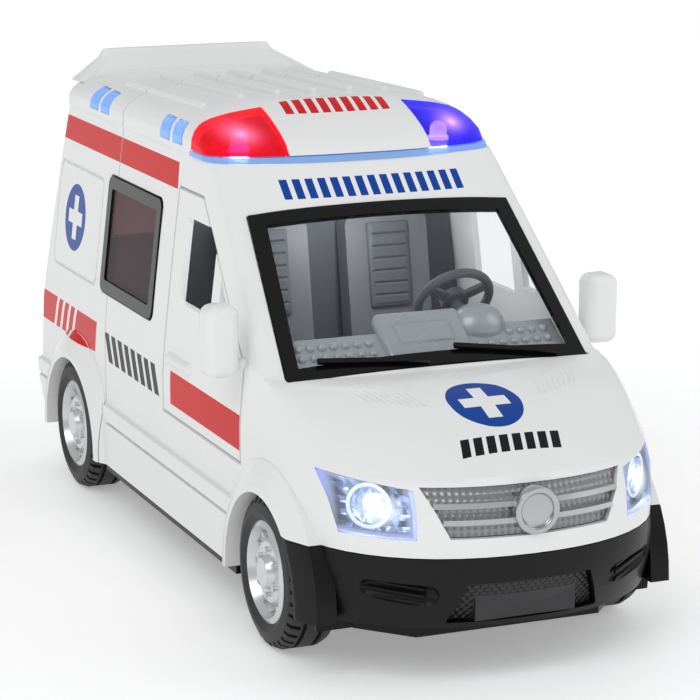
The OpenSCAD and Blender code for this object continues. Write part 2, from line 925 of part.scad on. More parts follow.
module front_bumper() {
    y_end = nose_y + nose_depth;
    color("black") {
        difference() {
            union() {
                loft([for (i = [0:bumper_steps])
                    bumper_ring(
                        mix(bumper_low_z, bumper_top_z - play, i / bumper_steps),
                        bumper_out - bumper_out * pow(i / bumper_steps, 4))]);
                for (side = [-1, 1])
                    translate([
                        side > 0 ? belt_half_w - wall : -belt_half_w - bumper_out,
                        y_end - bond,
                        bumper_low_z])
                        cube([wall + bumper_out, front_axle_y - y_end + bond, bumper_top_z - play - bumper_low_z]);
                intersection() {
                    for (side = [-1, 1])
                        arch_flare(front_axle_y, side);
                    translate([-body_width, nose_y, bumper_low_z])
                        cube([2 * body_width, front_axle_y - nose_y, bumper_top_z - play - bumper_low_z]);
                }
            }
            arch_cuts(front_axle_y);
            translate([0, front_axle_y, arch_z])
                rod_x(-well_out_x - play, well_out_x + play, well_r + play);
            along_y(nose_y - 2 * overrun, nose_y + nose_depth / 2)
                hull() {
                    translate([-mesh_half_w + mesh_slope, mesh_high_z])
                        square([2 * (mesh_half_w - mesh_slope), overrun]);
                    translate([-mesh_half_w, mesh_low_z])
                        square([2 * mesh_half_w, overrun]);
                }
            for (side = [-1, 1])
                hull()
                    for (s = [0, 1])
                        translate([
                            side * (scoop_in_x + s * scoop_len),
                            nose_at(scoop_in_x + s * scoop_len, scoop_z, -bumper_out) - scoop_r / 2,
                            scoop_z + s * scoop_r / 2])
                            sphere(scoop_r * (1 - s / 4), $fn = 16);
        }
        for (side = [-1, 1])
            for (k = [-1, 0, 1])
                hull()
                    for (s = [0, 1])
                        translate([
                            side * (scoop_in_x + s * scoop_len),
                            nose_at(scoop_in_x + s * scoop_len, scoop_z, -bumper_out) + scoop_r / 3,
                            scoop_z + s * scoop_r / 2 + k * slat_step])
                            sphere(slat_r, $fn = 8);
    }
}

module bumper_mesh() {
    color("dimgray") {
        skin_patch(
            [[-mesh_half_w + play, mesh_low_z + play],
                [mesh_half_w - play, mesh_low_z + play],
                [mesh_half_w - mesh_slope - play, mesh_high_z + overrun - play],
                [-mesh_half_w + mesh_slope + play, mesh_high_z + overrun - play]],
            bumper_t / 2, wall / 2, 12, 3);
        translate([-plate_pad_w, nose_at(plate_pad_w, mesh_low_z, 0) - plate_pad_t, mesh_low_z + play])
            cube([2 * plate_pad_w, 2 * plate_pad_t, plate_pad_h]);
    }
}

ring_r = 6.6;
ring_w = 1.5;
grille_bar_h = 1.3;
grille_plate_in = 1.4;
grille_t = 1.4;
grille_bar_count = 2;

module grille() {
    mid_z = (grille_low_z + grille_top_z) / 2;
    color("silver") {
        skin_patch(grille_corners(0), grille_plate_in, grille_t, 14, 3);
        for (i = [1:grille_bar_count]) {
            z = mix(grille_low_z, grille_top_z, i / (grille_bar_count + 1));
            w = mix(grille_low_w, grille_top_w, i / (grille_bar_count + 1));
            skin_patch(
                [[-w, z - grille_bar_h / 2],
                    [w, z - grille_bar_h / 2],
                    [w, z + grille_bar_h / 2],
                    [-w, z + grille_bar_h / 2]],
                -play, grille_plate_in + 2 * play, 14, 1);
        }
        translate([0, nose_at(0, mid_z, 0), mid_z])
            rotate([90, 0, 0])
                difference() {
                    translate([0, 0, -grille_plate_in - play])
                        cylinder(h = grille_plate_in + 2 * play, r = (grille_top_z - grille_low_z) / 2 - play);
                    cylinder(h = grille_plate_in + 2 * play, r = (grille_top_z - grille_low_z) / 2 - play - ring_w);
                }
    }
}

module headlight_lens(side) {
    skin_patch(lamp_corners(side, 0), lamp_lens_inset, lamp_lens_t, 8, 5);
}

module headlight_lens_left() {
    color([0.85, 0.92, 1, 0.4])
        headlight_lens(1);
}

module headlight_lens_right() {
    color([0.85, 0.92, 1, 0.4])
        headlight_lens(-1);
}

bowl_out = 8.2;
bowl_x = lamp_inner_x + bowl_out;
bowl_sink = 0.3;
bowl_z = (lamp_low_z + lamp_high_z) / 2 - bowl_sink;
bowl_r = 6;
bowl_depth = 5.5;
bowl_t = 1;
bowl_turn = 42;
bowl_back = 4.6;
bowl_y = nose_at(bowl_x, bowl_z, 0) + bowl_back;

// A place on a headlight's axis, with +z towards the front
module at_headlight(side) {
    translate([side * bowl_x, bowl_y, bowl_z])
        rotate([0, 0, side * bowl_turn])
            rotate([90, 0, 0])
                children();
}

module headlight_bowl(side) {
    at_headlight(side)
        rotate_extrude()
            polygon([
                [led_r + 2 * running, -bowl_depth],
                [led_r + 2 * bowl_t, -bowl_depth],
                [bowl_r, -bowl_depth / 3],
                [bowl_r, 0],
                [bowl_r - bowl_t, 0],
                [bowl_r - bowl_t, -bowl_depth / 3],
                [led_r + bowl_t, -bowl_depth + bowl_t],
                [led_r + 2 * running, -bowl_depth + bowl_t]]);
}

module headlight_bowl_left() {
    color("silver")
        headlight_bowl(1);
}

module headlight_bowl_right() {
    color("silver")
        headlight_bowl(-1);
}

module headlight_leds() {
    color("aliceblue")
        for (side = [-1, 1])
            at_headlight(side)
                translate([0, 0, -bowl_depth - 2 * led_flange])
                    led();
}

// A strip across the windscreen that follows its bow, cut to an outline
module screen_strip(out, thick) {
    intersection() {
        translate([0, screen_bow_r - out, 0])
            difference() {
                cylinder(h = screen_len, r = screen_bow_r, $fn = 256);
                translate([0, 0, -overrun])
                    cylinder(h = screen_len + 2 * overrun, r = screen_bow_r - thick, $fn = 256);
            }
        rotate([90, 0, 0])
            translate([0, 0, -header_back / 4])
                linear_extrude(header_back / 2)
                    children();
    }
}

module screen_quad(grow) {
    polygon([
        [-screen_low_w - grow, screen_low - grow],
        [screen_low_w + grow, screen_low - grow],
        [screen_top_w + grow, screen_low + screen_h + grow],
        [-screen_top_w - grow, screen_low + screen_h + grow]]);
}

module windscreen_frame() {
    color("black")
        on_screen()
            screen_strip(screen_proud, screen_frame_t)
                difference() {
                    screen_quad(0);
                    screen_quad(-screen_border);
                }
}

module windscreen_glass() {
    color([0.8, 0.85, 0.9, 0.25])
        on_screen()
            screen_strip(0, screen_glass_t)
                screen_quad(-screen_border - screen_fit);
}

wiper_len = 31;
wiper_t = 1;
wiper_h = 1.4;
wiper_turn = 7;
wiper_yaw = 3.2;
wiper_in_x = 4;
wiper_base_r = 1.8;

module wipers() {
    color("black")
        on_screen()
            for (x = [-wiper_in_x - wiper_len, wiper_in_x])
                translate([x, 0, screen_low + wiper_base_r + play]) {
                    out = screen_proud + wiper_t + play;
                    mid = abs(x + wiper_len / 2);
                    bow = mid * mid / (2 * screen_bow_r);
                    translate([wiper_len / 2, bow - out, 0])
                        rotate([0, 0, x < 0 ? -wiper_yaw : wiper_yaw])
                            rotate([0, wiper_turn, 0])
                                translate([-wiper_len / 2, 0, 0])
                                    cube([wiper_len, wiper_t, wiper_h]);
                }
}

// Side windows: flat panes leaning with the body's sides
side_lean_low = half_w(side_window_low_z);
side_lean_top = half_w(side_window_low_z + side_window_h);
side_angle = atan((side_lean_low - side_lean_top) / side_window_h);
side_frame_t = 1.6;
side_glass_t = 1.2;
side_frame_out = 0.5;
pane_h = side_window_h / cos(side_angle);

// A place on a body side: x out of the side, y along it, z up, with the low front corner at 0
module on_side(side) {
    mirror([side > 0 ? 0 : 1, 0, 0])
        translate([side_lean_low, side_window_y, side_window_low_z])
            rotate([0, -side_angle, 0])
                children();
}

module pane(grow, x0, thick) {
    along_x(x0, x0 + thick)
        translate([-grow, -grow])
            round_rect([side_window_len + 2 * grow, pane_h + 2 * grow], window_corner_r + grow / 2);
}

module side_window_frame(side) {
    on_side(side)
        difference() {
            pane(-play, side_frame_out - side_frame_t, side_frame_t);
            pane(-side_window_border, side_frame_out - side_frame_t - overrun, side_frame_t + 2 * overrun);
        }
}

module side_window_frame_left() {
    color("black")
        side_window_frame(1);
}

module side_window_frame_right() {
    color("black")
        side_window_frame(-1);
}

module side_glass(side) {
    on_side(side)
        pane(-side_window_border - running, -side_glass_t, side_glass_t);
}

module side_glass_left() {
    color([0.35, 0.25, 0.3, 0.5])
        side_glass(1);
}

module side_glass_right() {
    color([0.35, 0.25, 0.3, 0.5])
        side_glass(-1);
}

mirror_w = 9.5;
mirror_h = 19.5;
mirror_d = 8;
mirror_r = 3;
mirror_reach = 11;
mirror_out_x = belt_half_w + mirror_reach;
mirror_drop = 1.5;
mirror_low_z = cowl_z - mirror_drop;
mirror_back = 20;
mirror_y = front_axle_y + mirror_back;
mirror_foot = 3.2;

module door_mirror(side) {
    mirror([side > 0 ? 0 : 1, 0, 0]) {
        hull()
            for (x = [mirror_out_x - mirror_w + mirror_r, mirror_out_x - mirror_r])
                for (z = [mirror_low_z + mirror_r, mirror_low_z + mirror_h - mirror_r])
                    for (y = [mirror_y - mirror_d / 2 + mirror_r, mirror_y + mirror_d / 2 - mirror_r / 2])
                        translate([x, y, z])
                            sphere(mirror_r, $fn = 16);
        hull() {
            translate([mirror_out_x - mirror_w + mirror_r, mirror_y, mirror_low_z + mirror_r])
                sphere(mirror_foot / 2, $fn = 12);
            translate([half_w(mirror_low_z) + mirror_foot / 2 + play / 2, mirror_y, mirror_low_z + mirror_r])
                sphere(mirror_foot / 2, $fn = 12);
        }
    }
}

module mirror_left() {
    color("white")
        door_mirror(1);
}

module mirror_right() {
    color("white")
        door_mirror(-1);
}

// Inside the cab and the patient bay

floor_ahead = 3;
floor_front_y = cowl_y - floor_ahead;
floor_back = 4;
floor_rear_y = tail_at(bumper_top_z + door_low) - door_t - floor_back;
floor_half_w = half_w(floor_top_z) - wall - play;

module cab_floor() {
    color("dimgray")
        translate([-floor_half_w, floor_front_y, floor_z])
            cube([2 * floor_half_w, floor_rear_y - floor_front_y, floor_t]);
}

dash_half_w = 40;
dash_depth = 20;
dash_drop = 1;
dash_front_z = cowl_z - dash_drop;
dash_rise = 8;
dash_top_z = dash_front_z + dash_rise;
hood_half_w = 12;
hood_h = 3.4;
hood_in = 2;
dash_hump_sink = 1.5;
dash_lip = 5;
dash_hump_r = 7;
steer_x = 18.5;
steer_r = 10.5;
steer_tube = 1.3;
steer_tilt = 34;
steer_back = 15;
steer_y = cowl_y + dash_depth + steer_back;
steer_rise = 3.5;
steer_z = dash_top_z + steer_rise;
column_r = 1.9;
column_len = 8.3;

module dashboard() {
    color("lightslategray") {
        along_x(-dash_half_w, dash_half_w)
            polygon([
                [floor_front_y + dash_lip, floor_top_z],
                [cowl_y + dash_depth - dash_lip, floor_top_z],
                [cowl_y + dash_depth, dash_top_z - 2 * dash_lip],
                [cowl_y + dash_depth, dash_top_z - dash_lip / 2],
                [cowl_y + dash_depth - dash_lip / 2, dash_top_z],
                [cowl_y + dash_lip, dash_front_z],
                [floor_front_y + dash_lip, dash_front_z - dash_lip]]);
        translate([steer_x, cowl_y + dash_depth, dash_top_z - dash_hump_sink])
            sphere(dash_hump_r);
        along_x(-hood_half_w, hood_half_w)
            polygon([
                [cowl_y + dash_lip + hood_in, dash_front_z],
                [cowl_y + dash_depth - bond, dash_top_z - dash_lip],
                [cowl_y + dash_depth - bond, dash_top_z + hood_h],
                [cowl_y + dash_lip + 2 * hood_in, dash_front_z + hood_h]]);
        along_x(-dash_hump_r, dash_hump_r)
            polygon([
                [cowl_y + dash_depth - bond, floor_top_z],
                [cowl_y + dash_depth + dash_lip, floor_top_z],
                [cowl_y + dash_depth + dash_lip / 2, dash_top_z - dash_lip],
                [cowl_y + dash_depth - bond, dash_top_z - dash_lip / 2]]);
    }
}

// A place at the steering wheel's centre, with +z along the column towards the driver
module at_steering() {
    translate([steer_x, steer_y, steer_z])
        rotate([steer_tilt - 90, 0, 0])
            children();
}

module steering_wheel() {
    color("darkslategray")
        at_steering() {
            rotate_extrude()
                translate([steer_r, 0])
                    circle(steer_tube, $fn = 24);
            cylinder(h = 2 * steer_tube, r = 3 * steer_tube, center = true);
            for (a = [0, 120, 240])
                rotate([0, 0, a + 90])
                    translate([0, -steer_tube, -steer_tube / 2])
                        cube([steer_r, 2 * steer_tube, steer_tube]);
            translate([0, 0, -column_len])
                cylinder(h = column_len, r = column_r);
        }
}

seat_x = 19;
seat_w = 26;
seat_depth = 25;
seat_t = 9;
seat_rise = 7;
seat_z = floor_top_z + seat_rise;
seat_back_h = 40;
seat_back_t = 7;
seat_recline = 10;
head_w = 15;
head_h = 11;
head_less = 1;
seat_r = 3;
seat_ahead = 33;
seat_y = bulkhead_y - seat_ahead;

// A block with rounded corners seen from the front
module pad(w, d, h) {
    translate([-w / 2, 0, 0])
        along_y(0, d)
            round_rect([w, h], seat_r);
}

module seat() {
    translate([0, seat_y, seat_z])
        pad(seat_w, seat_depth, seat_t);
    translate([-seat_w / 2 + seat_r, seat_y + seat_r, floor_top_z])
        cube([seat_w - 2 * seat_r, seat_depth - 2 * seat_r, seat_z + bond - floor_top_z]);
    translate([0, seat_y + seat_depth - seat_back_t, seat_z + seat_t - seat_r])
        rotate([-seat_recline, 0, 0]) {
            pad(seat_w, seat_back_t, seat_back_h);
            translate([0, 0, seat_back_h - bond])
                pad(head_w, seat_back_t - head_less, head_h);
        }
}

module seat_left() {
    color("darkslategray")
        translate([seat_x, 0, 0])
            seat();
}

module seat_right() {
    color("darkslategray")
        translate([-seat_x, 0, 0])
            seat();
}

bulkhead_t = 1.6;
bulkhead_top_z = split_z - wall - play;

module bulkhead() {
    low_w = half_w(floor_top_z) - wall - play;
    mid_w = half_w(side_window_low_z) - wall - play;
    top_w = half_w(bulkhead_top_z + wall) - wall - 2 * play;
    color("gray")
        along_y(bulkhead_y, bulkhead_y + bulkhead_t)
            polygon([
                [-low_w, floor_top_z],
                [low_w, floor_top_z],
                [mid_w, side_window_low_z],
                [top_w, bulkhead_top_z],
                [-top_w, bulkhead_top_z],
                [-mid_w, side_window_low_z]]);
}

bed_half_w = 17;
bed_back = 14;
bed_y = bulkhead_y + bed_back;
bed_end = 10;
bed_len = floor_rear_y - bed_y - bed_end;
bed_h = 13;
bed_head = 26;
bed_rise = 9;

module patient_bed() {
    color("lightgray") {
        along_x(-bed_half_w, bed_half_w)
            polygon([
                [bed_y, floor_top_z],
                [bed_y + bed_len, floor_top_z],
                [bed_y + bed_len, floor_top_z + bed_h],
                [bed_y + bed_head, floor_top_z + bed_h],
                [bed_y, floor_top_z + bed_h + bed_rise]]);
        for (side = [-1, 1])
            translate([side * bed_half_w - wall / 2, bed_y + bed_head, floor_top_z])
                cube([wall, bed_len / 2, bed_h + 2 * wall]);
    }
}

// Rear doors

rear_window_w = 20;
rear_window_h = 28;
rear_window_rise = 32;
rear_window_low = door_low + rear_window_rise;
rear_glass_t = 1.2;
pull_w = 2.4;
pull_len = 14;
pull_out = 1.2;
door_w = door_half_w - door_mid_gap / 2;

// The outline of a door's window on the tail, as [x, height along the tail]
module rear_window(side, grow) {
    translate([side * (door_half_w + door_mid_gap) / 2, rear_window_low + rear_window_h / 2])
        square([rear_window_w + 2 * grow, rear_window_h + 2 * grow], center = true);
}

module rear_door(side) {
    on_tail()
        difference() {
            union() {
                translate([side > 0 ? door_mid_gap / 2 : -door_half_w, -door_t, door_low])
                    cube([door_w, door_t, door_h]);
                for (z = hinge_places) {
                    translate([side * (door_half_w + hinge_off), hinge_out, z - hinge_h / 2 + play / 2])
                        cylinder(h = hinge_h - play, r = hinge_barrel_r);
                    translate([
                        side > 0 ? door_half_w - hinge_barrel_r : -door_half_w - hinge_off,
                        -bond,
                        z - hinge_h / 2 + play / 2])
                        cube([hinge_barrel_r + hinge_off, hinge_out + bond + hinge_barrel_r / 2, hinge_h - play]);
                }
                translate([
                    side * (door_mid_gap / 2 + 2 * pull_w) - pull_w / 2,
                    -bond,
                    door_low + door_h / 3 - pull_len / 2])
                    cube([pull_w, pull_out + bond, pull_len]);
            }
            along_y(-door_t - overrun, overrun + hinge_out)
                rear_window(side, play / 2);
            translate([side * (door_half_w + hinge_off), hinge_out, 0])
                cylinder(h = tail_run, r = hinge_pin_r + running);
        }
}

module rear_door_left() {
    color("white")
        rear_door(1);
}

module rear_door_right() {
    color("white")
        rear_door(-1);
}

module rear_glass(side) {
    on_tail()
        along_y(-door_t / 2 - rear_glass_t / 2, -door_t / 2 + rear_glass_t / 2)
            rear_window(side, 0);
}

module rear_glass_left() {
    color([0.2, 0.2, 0.25, 0.6])
        rear_glass(1);
}

module rear_glass_right() {
    color([0.2, 0.2, 0.25, 0.6])
        rear_glass(-1);
}

module hinge_pins() {
    color("silver")
        on_tail()
            for (side = [-1, 1])
                for (z = hinge_places)
                    translate([side * (door_half_w + hinge_off), hinge_out, z - 3 * hinge_h / 2])
                        cylinder(h = 3 * hinge_h, r = hinge_pin_r);
}

module tail_lamps() {
    color("red")
        for (side = [-1, 1])
            skin_patch(tail_lamp_corners(side, 0), -play, wall + play, 4, 4, false);
}

// Chassis: a flat base with four wheel wells and the axle bearings

case_half_w = 12;
case_t = 1.4;
case_ahead = 31;
case_front_y = rear_axle_y - case_ahead;
case_behind = 11;
case_rear_y = rear_axle_y + case_behind;
case_drop = 10.4;
case_low_z = axle_z - case_drop;
case_rise = 18.5;
case_top_z = axle_z + case_rise;
cell_r = 5.8;
cell_t = 5.4;
cell_count = 3;
cell_back = 62;
cell_y = front_axle_y + cell_back;
cell_pitch = 13;
cover_w = 46;
cover_len = 17;
cover_t = 1.6;
speaker_r = 13;
speaker_h = 7;
speaker_back = 100;
speaker_y = front_axle_y + speaker_back;
sound_hole_r = 1;
board_w = 40;
board_len = 24;
board_t = 1.6;
board_back = 30;
board_y = front_axle_y + board_back;
board_x = -board_w / 2;
stand_off = 2.5;
switch_travel = 4;
switch_w = 6;
switch_len = 4;
switch_x = 20;
switch_y = speaker_y;
switch_h = 1.4;

module wheel_well(y, side) {
    translate([0, y, arch_z])
        mirror([side > 0 ? 0 : 1, 0, 0])
            difference() {
                union() {
                    difference() {
                        rod_x(well_in_x - liner_t, well_out_x, well_r);
                        rod_x(well_in_x, well_out_x + overrun, liner_r);
                    }
                    translate([0, 0, axle_z - arch_z])
                        rod_x(well_in_x - boss_len, well_in_x + play, boss_r);
                }
                translate([0, -body_width, -body_width + plate_z - arch_z])
                    cube([body_width, 2 * body_width, body_width]);
                translate([0, 0, axle_z - arch_z])
                    rod_x(0, body_width, axle_r + running);
            }
}

// The flat outline of the base, from the nose to the tail on one side
base_front_w = 26;
base_step_w = 38;
base_nose = 15;
function base_half() = [
    [base_front_w, nose_y + base_nose],
    [base_step_w, front_axle_y - well_r],
    [well_in_x, front_axle_y - well_r],
    [well_in_x, front_axle_y + well_r],
    [plate_half_w, front_axle_y + well_r],
    [plate_half_w, rear_axle_y - well_r],
    [well_in_x, rear_axle_y - well_r],
    [well_in_x, rear_axle_y + well_r],
    [base_step_w, rear_axle_y + well_r],
    [base_step_w, tail_y - base_nose]];

module chassis() {
    half = base_half();
    color([0.1, 0.1, 0.1])
        difference() {
            union() {
                translate([0, 0, plate_z])
                    linear_extrude(plate_t)
                        polygon(concat(
                            half,
                            [for (i = [len(half) - 1:-1:0]) [-half[i][0], half[i][1]]]));
                for (side = [-1, 1]) {
                    wheel_well(front_axle_y, side);
                    wheel_well(rear_axle_y, side);
                }
            }
            translate([-case_half_w - play, case_front_y - play, plate_z - overrun])
                cube([2 * (case_half_w + play), case_rear_y - case_front_y + 2 * play, plate_t + 2 * overrun]);
            translate([-cover_w / 2 - play, cell_y - cover_len / 2 - play, plate_z - overrun])
                cube([cover_w + 2 * play, cover_len + 2 * play, cover_t + play + overrun]);
            for (i = [0:cell_count - 1])
                translate([(i - (cell_count - 1) / 2) * cell_pitch, cell_y, plate_z])
                    cylinder(h = plate_t + overrun, r = cell_r + play);
            for (x = [-1, 0, 1])
                for (y = [-1, 0, 1])
                    translate([x * speaker_r / 3, speaker_y + y * speaker_r / 3, plate_z - overrun])
                        cylinder(h = plate_t + 2 * overrun, r = sound_hole_r);
            translate([switch_x - switch_w / 2 - play, switch_y - switch_len / 2 - play, plate_z - overrun])
                cube([switch_w + 2 * play, switch_len + switch_travel + 2 * play, plate_t + 2 * overrun]);
        }
}

module battery_cover() {
    color([0.15, 0.15, 0.15])
        translate([-cover_w / 2, cell_y - cover_len / 2, plate_z])
            cube([cover_w, cover_len, cover_t]);
}

module button_cells() {
    color("silver")
        for (i = [0:cell_count - 1])
            translate([(i - (cell_count - 1) / 2) * cell_pitch, cell_y, plate_z + cover_t + play / 2])
                cylinder(h = cell_t, r = cell_r);
}

module circuit_board() {
    color("green") {
        translate([board_x, board_y - board_len / 2, sill_z + stand_off])
            cube([board_w, board_len, board_t]);
        for (x = [board_x + stand_off, -board_x - stand_off])
            translate([x, board_y, sill_z])
                cylinder(h = stand_off + bond, r = stand_off / 2);
        translate([-board_len / 4, board_y - board_len / 4, sill_z + stand_off + board_t - bond])
            cube([board_len / 2, board_len / 2, stand_off]);
    }
}

module speaker() {
    color("dimgray")
        translate([0, speaker_y, sill_z]) {
            cylinder(h = speaker_h / 3, r = speaker_r);
            cylinder(h = speaker_h, r = speaker_r / 2);
        }
}

// The slide switch: a flange on top of the base, a stem through its slot and a knob below
module switch_knob() {
    color([0.2, 0.2, 0.2]) {
        translate([switch_x - switch_w / 2 - 2 * play, switch_y - switch_len / 2, sill_z + running])
            cube([switch_w + 4 * play, switch_len, switch_h]);
        translate([switch_x - switch_w / 2, switch_y - switch_len / 2, plate_z - switch_h])
            cube([switch_w, switch_len, plate_t + 2 * switch_h]);
    }
}

// Wheels and axles

module axle(y) {
    at_axle(y)
        rod_x(-track_w / 2 + rim_cap, track_w / 2 - rim_cap, axle_r);
}

rim_cap = 3;
rim_r = rim_d / 2;
rim_dish = 4.2;
rim_lip = 1.4;
rim_face = 1.8;
rim_edge_in = 0.4;
hub_flare = 1;
lug_out = 2.4;

module front_axle() {
    color("silver")
        axle(front_axle_y);
}

module rear_axle() {
    color("silver")
        axle(rear_axle_y);
}

// A tyre seen along its axle, outer face at x = 0 and inner face at x = -tyre_w
module tyre() {
    r = wheel_d / 2;
    tread_in = (shoulder_w + tyre_w / 3 - tread_gap / 2) / 2;
    difference() {
        rotate([0, -90, 0])
            rotate_extrude($fn = 96)
                polygon([
                    [rim_r, tyre_wall],
                    [rim_r + 2 * tyre_wall, 0],
                    [r - tyre_side_drop, tyre_side_in],
                    [r - tyre_edge_drop, tyre_edge_in],
                    [r, shoulder_w],
                    [r, tyre_w / 3 - tread_gap / 2],
                    [r - tread_cut, tyre_w / 3 - tread_gap / 2],
                    [r - tread_cut, tyre_w / 3 + tread_gap / 2],
                    [r, tyre_w / 3 + tread_gap / 2],
                    [r, 2 * tyre_w / 3 - tread_gap / 2],
                    [r - tread_cut, 2 * tyre_w / 3 - tread_gap / 2],
                    [r - tread_cut, 2 * tyre_w / 3 + tread_gap / 2],
                    [r, 2 * tyre_w / 3 + tread_gap / 2],
                    [r, tyre_w - shoulder_w],
                    [r - tyre_edge_drop, tyre_w - tyre_edge_in],
                    [r - tyre_side_drop, tyre_w - tyre_side_in],
                    [rim_r + 2 * tyre_wall, tyre_w],
                    [rim_r, tyre_w - tyre_wall]]);
        for (i = [0:tread_count - 1])
            rotate([i * 360 / tread_count, 0, 0])
                translate([-tread_in, -tread_gap / 2, r - 2 * tread_cut])
                    cube([tread_in + overrun, tread_gap, 2 * tread_cut + overrun]);
    }
}

// A dished rim with a ring of bumps, lugs and a centre cap, outer face at x = 0
module rim() {
    difference() {
        union() {
            rotate([0, -90, 0])
                rotate_extrude($fn = 72)
                    polygon([
                        [0, 0],
                        [hub_r, 0],
                        [hub_r + hub_flare, rim_face],
                        [rim_r - rim_dish - rim_lip, rim_face],
                        [rim_r - rim_dish, rim_face + rim_lip],
                        [rim_r - 2 * rim_lip, rim_face + rim_lip],
                        [rim_r - rim_lip, rim_edge_in],
                        [rim_r, tyre_wall],
                        [rim_r, tyre_w - tyre_wall],
                        [rim_r - rim_lip, tyre_w - tyre_wall],
                        [rim_r - rim_lip, 2 * rim_dish],
                        [hub_r, 2 * rim_dish],
                        [hub_r, tyre_w + rim_lip],
                        [0, tyre_w + rim_lip]]);
            for (i = [0:bump_count - 1])
                rotate([i * 360 / bump_count, 0, 0])
                    translate([-rim_face - rim_lip - bond, 0, rim_r - rim_dish + rim_lip / 2])
                        rod_x(0, rim_lip, rim_lip / 2);
            for (i = [0:lug_count - 1])
                rotate([i * 360 / lug_count, 0, 0])
                    translate([-rim_face - bond, 0, hub_r + lug_out])
                        rod_x(0, rim_lip, rim_lip / 2);
        }
        rod_x(-tyre_w - 2 * rim_lip, -rim_cap, axle_r);
    }
}

module at_wheel(y, side) {
    at_axle(y)
        mirror([side > 0 ? 0 : 1, 0, 0])
            translate([track_w / 2, 0, 0])
                children();
}

module tyre_front_left() {
    color([0.08, 0.08, 0.08])
        at_wheel(front_axle_y, 1)
            tyre();
}

module tyre_front_right() {
    color([0.08, 0.08, 0.08])
        at_wheel(front_axle_y, -1)
            tyre();
}

module tyre_rear_left() {
    color([0.08, 0.08, 0.08])
        at_wheel(rear_axle_y, 1)
            tyre();
}

module tyre_rear_right() {
    color([0.08, 0.08, 0.08])
        at_wheel(rear_axle_y, -1)
            tyre();
}

module rim_front_left() {
    color("silver")
        at_wheel(front_axle_y, 1)
            rim();
}

module rim_front_right() {
    color("silver")
        at_wheel(front_axle_y, -1)
            rim();
}

module rim_rear_left() {
    color("silver")
        at_wheel(rear_axle_y, 1)
            rim();
}

module rim_rear_right() {
    color("silver")
        at_wheel(rear_axle_y, -1)
            rim();
}

// Friction drive: three shafts across the van, joined by two pairs of gears

pressure_angle = 25;
addendum_share = 0.8;
addendum = addendum_share * gear_module;
dedendum_share = 1.1;
dedendum = dedendum_share * gear_module;
backlash = 0.14;
flank_steps = 4;
shaft_r = 1;
lay_angle = 150;
fly_angle = 172;
lay_dist = gear_module * (axle_teeth + lay_small_teeth) / 2;
fly_dist = gear_module * (lay_large_teeth + fly_teeth) / 2;
lay_y = rear_axle_y + lay_dist * cos(lay_angle);
lay_z = axle_z + lay_dist * sin(lay_angle);
fly_y = lay_y + fly_dist * cos(fly_angle);
fly_z = lay_z + fly_dist * sin(fly_angle);
axle_gear_x = 4;
axle_gear_w = 4;
lay_large_x = -0.6;
lay_large_w = 3.4;
flywheel_x = -9.6;
flywheel_w = 7;
pinion_x = -1.6;
pinion_w = 5.2;

// Turn of each gear at which its teeth stand in its partner's gaps
axle_turn = lay_angle;
lay_turn = lay_angle + 180 + 180 / lay_small_teeth;
fly_turn = fly_angle + 180 + 180 / fly_teeth - (lay_turn - fly_angle) * lay_large_teeth / fly_teeth;

function involute(q) = q * 180 / PI - atan(q);
function roll(radius, base) = sqrt(max(0, pow(radius / base, 2) - 1));

module gear_outline(teeth) {
    pitch = gear_module * teeth / 2;
    base = pitch * cos(pressure_angle);
    tip = pitch + addendum;
    root = pitch - dedendum;
    low = max(base, root);
    half = (PI * gear_module / 2 - backlash) / pitch * 90 / PI + involute(tan(pressure_angle));
    flank = [for (i = [0:flank_steps]) mix(low, tip, i / flank_steps)];
    spread = [for (q = flank) half - involute(roll(q, base))];
    polygon([for (t = [0:teeth - 1])
        let (c = t * 360 / teeth)
        each concat(
            [root * [cos(c - spread[0]), sin(c - spread[0])]],
            [for (i = [0:flank_steps]) flank[i] * [cos(c - spread[i]), sin(c - spread[i])]],
            [for (i = [flank_steps:-1:0]) flank[i] * [cos(c + spread[i]), sin(c + spread[i])]],
            [root * [cos(c + spread[0]), sin(c + spread[0])]])]);
}

// A gear across the van at [y, z], from x0 over its width
module gear_at(y, z, x0, w, teeth, turn, bore) {
    translate([0, y, z])
        along_x(x0, x0 + w)
            difference() {
                rotate(turn)
                    gear_outline(teeth);
                circle(bore);
            }
}

module axle_gear() {
    color("ivory")
        gear_at(rear_axle_y, axle_z, axle_gear_x, axle_gear_w, axle_teeth, axle_turn, axle_r);
}

shaft_end = case_half_w - case_t / 3;

module lay_gear() {
    small_x = lay_large_x + lay_large_w - bond;
    color("ivory") {
        gear_at(lay_y, lay_z, lay_large_x, lay_large_w, lay_large_teeth, lay_turn, shaft_r - bond);
        gear_at(lay_y, lay_z, small_x, axle_gear_x + axle_gear_w - small_x, lay_small_teeth, lay_turn, shaft_r - bond);
        translate([0, lay_y, lay_z])
            rod_x(-shaft_end, shaft_end, shaft_r);
    }
}

module flywheel() {
    color("gray") {
        translate([0, fly_y, fly_z]) {
            rod_x(flywheel_x, flywheel_x + flywheel_w, flywheel_d / 2);
            rod_x(-shaft_end, shaft_end, shaft_r);
        }
        gear_at(fly_y, fly_z, pinion_x, pinion_w, fly_teeth, fly_turn, shaft_r - bond);
    }
}

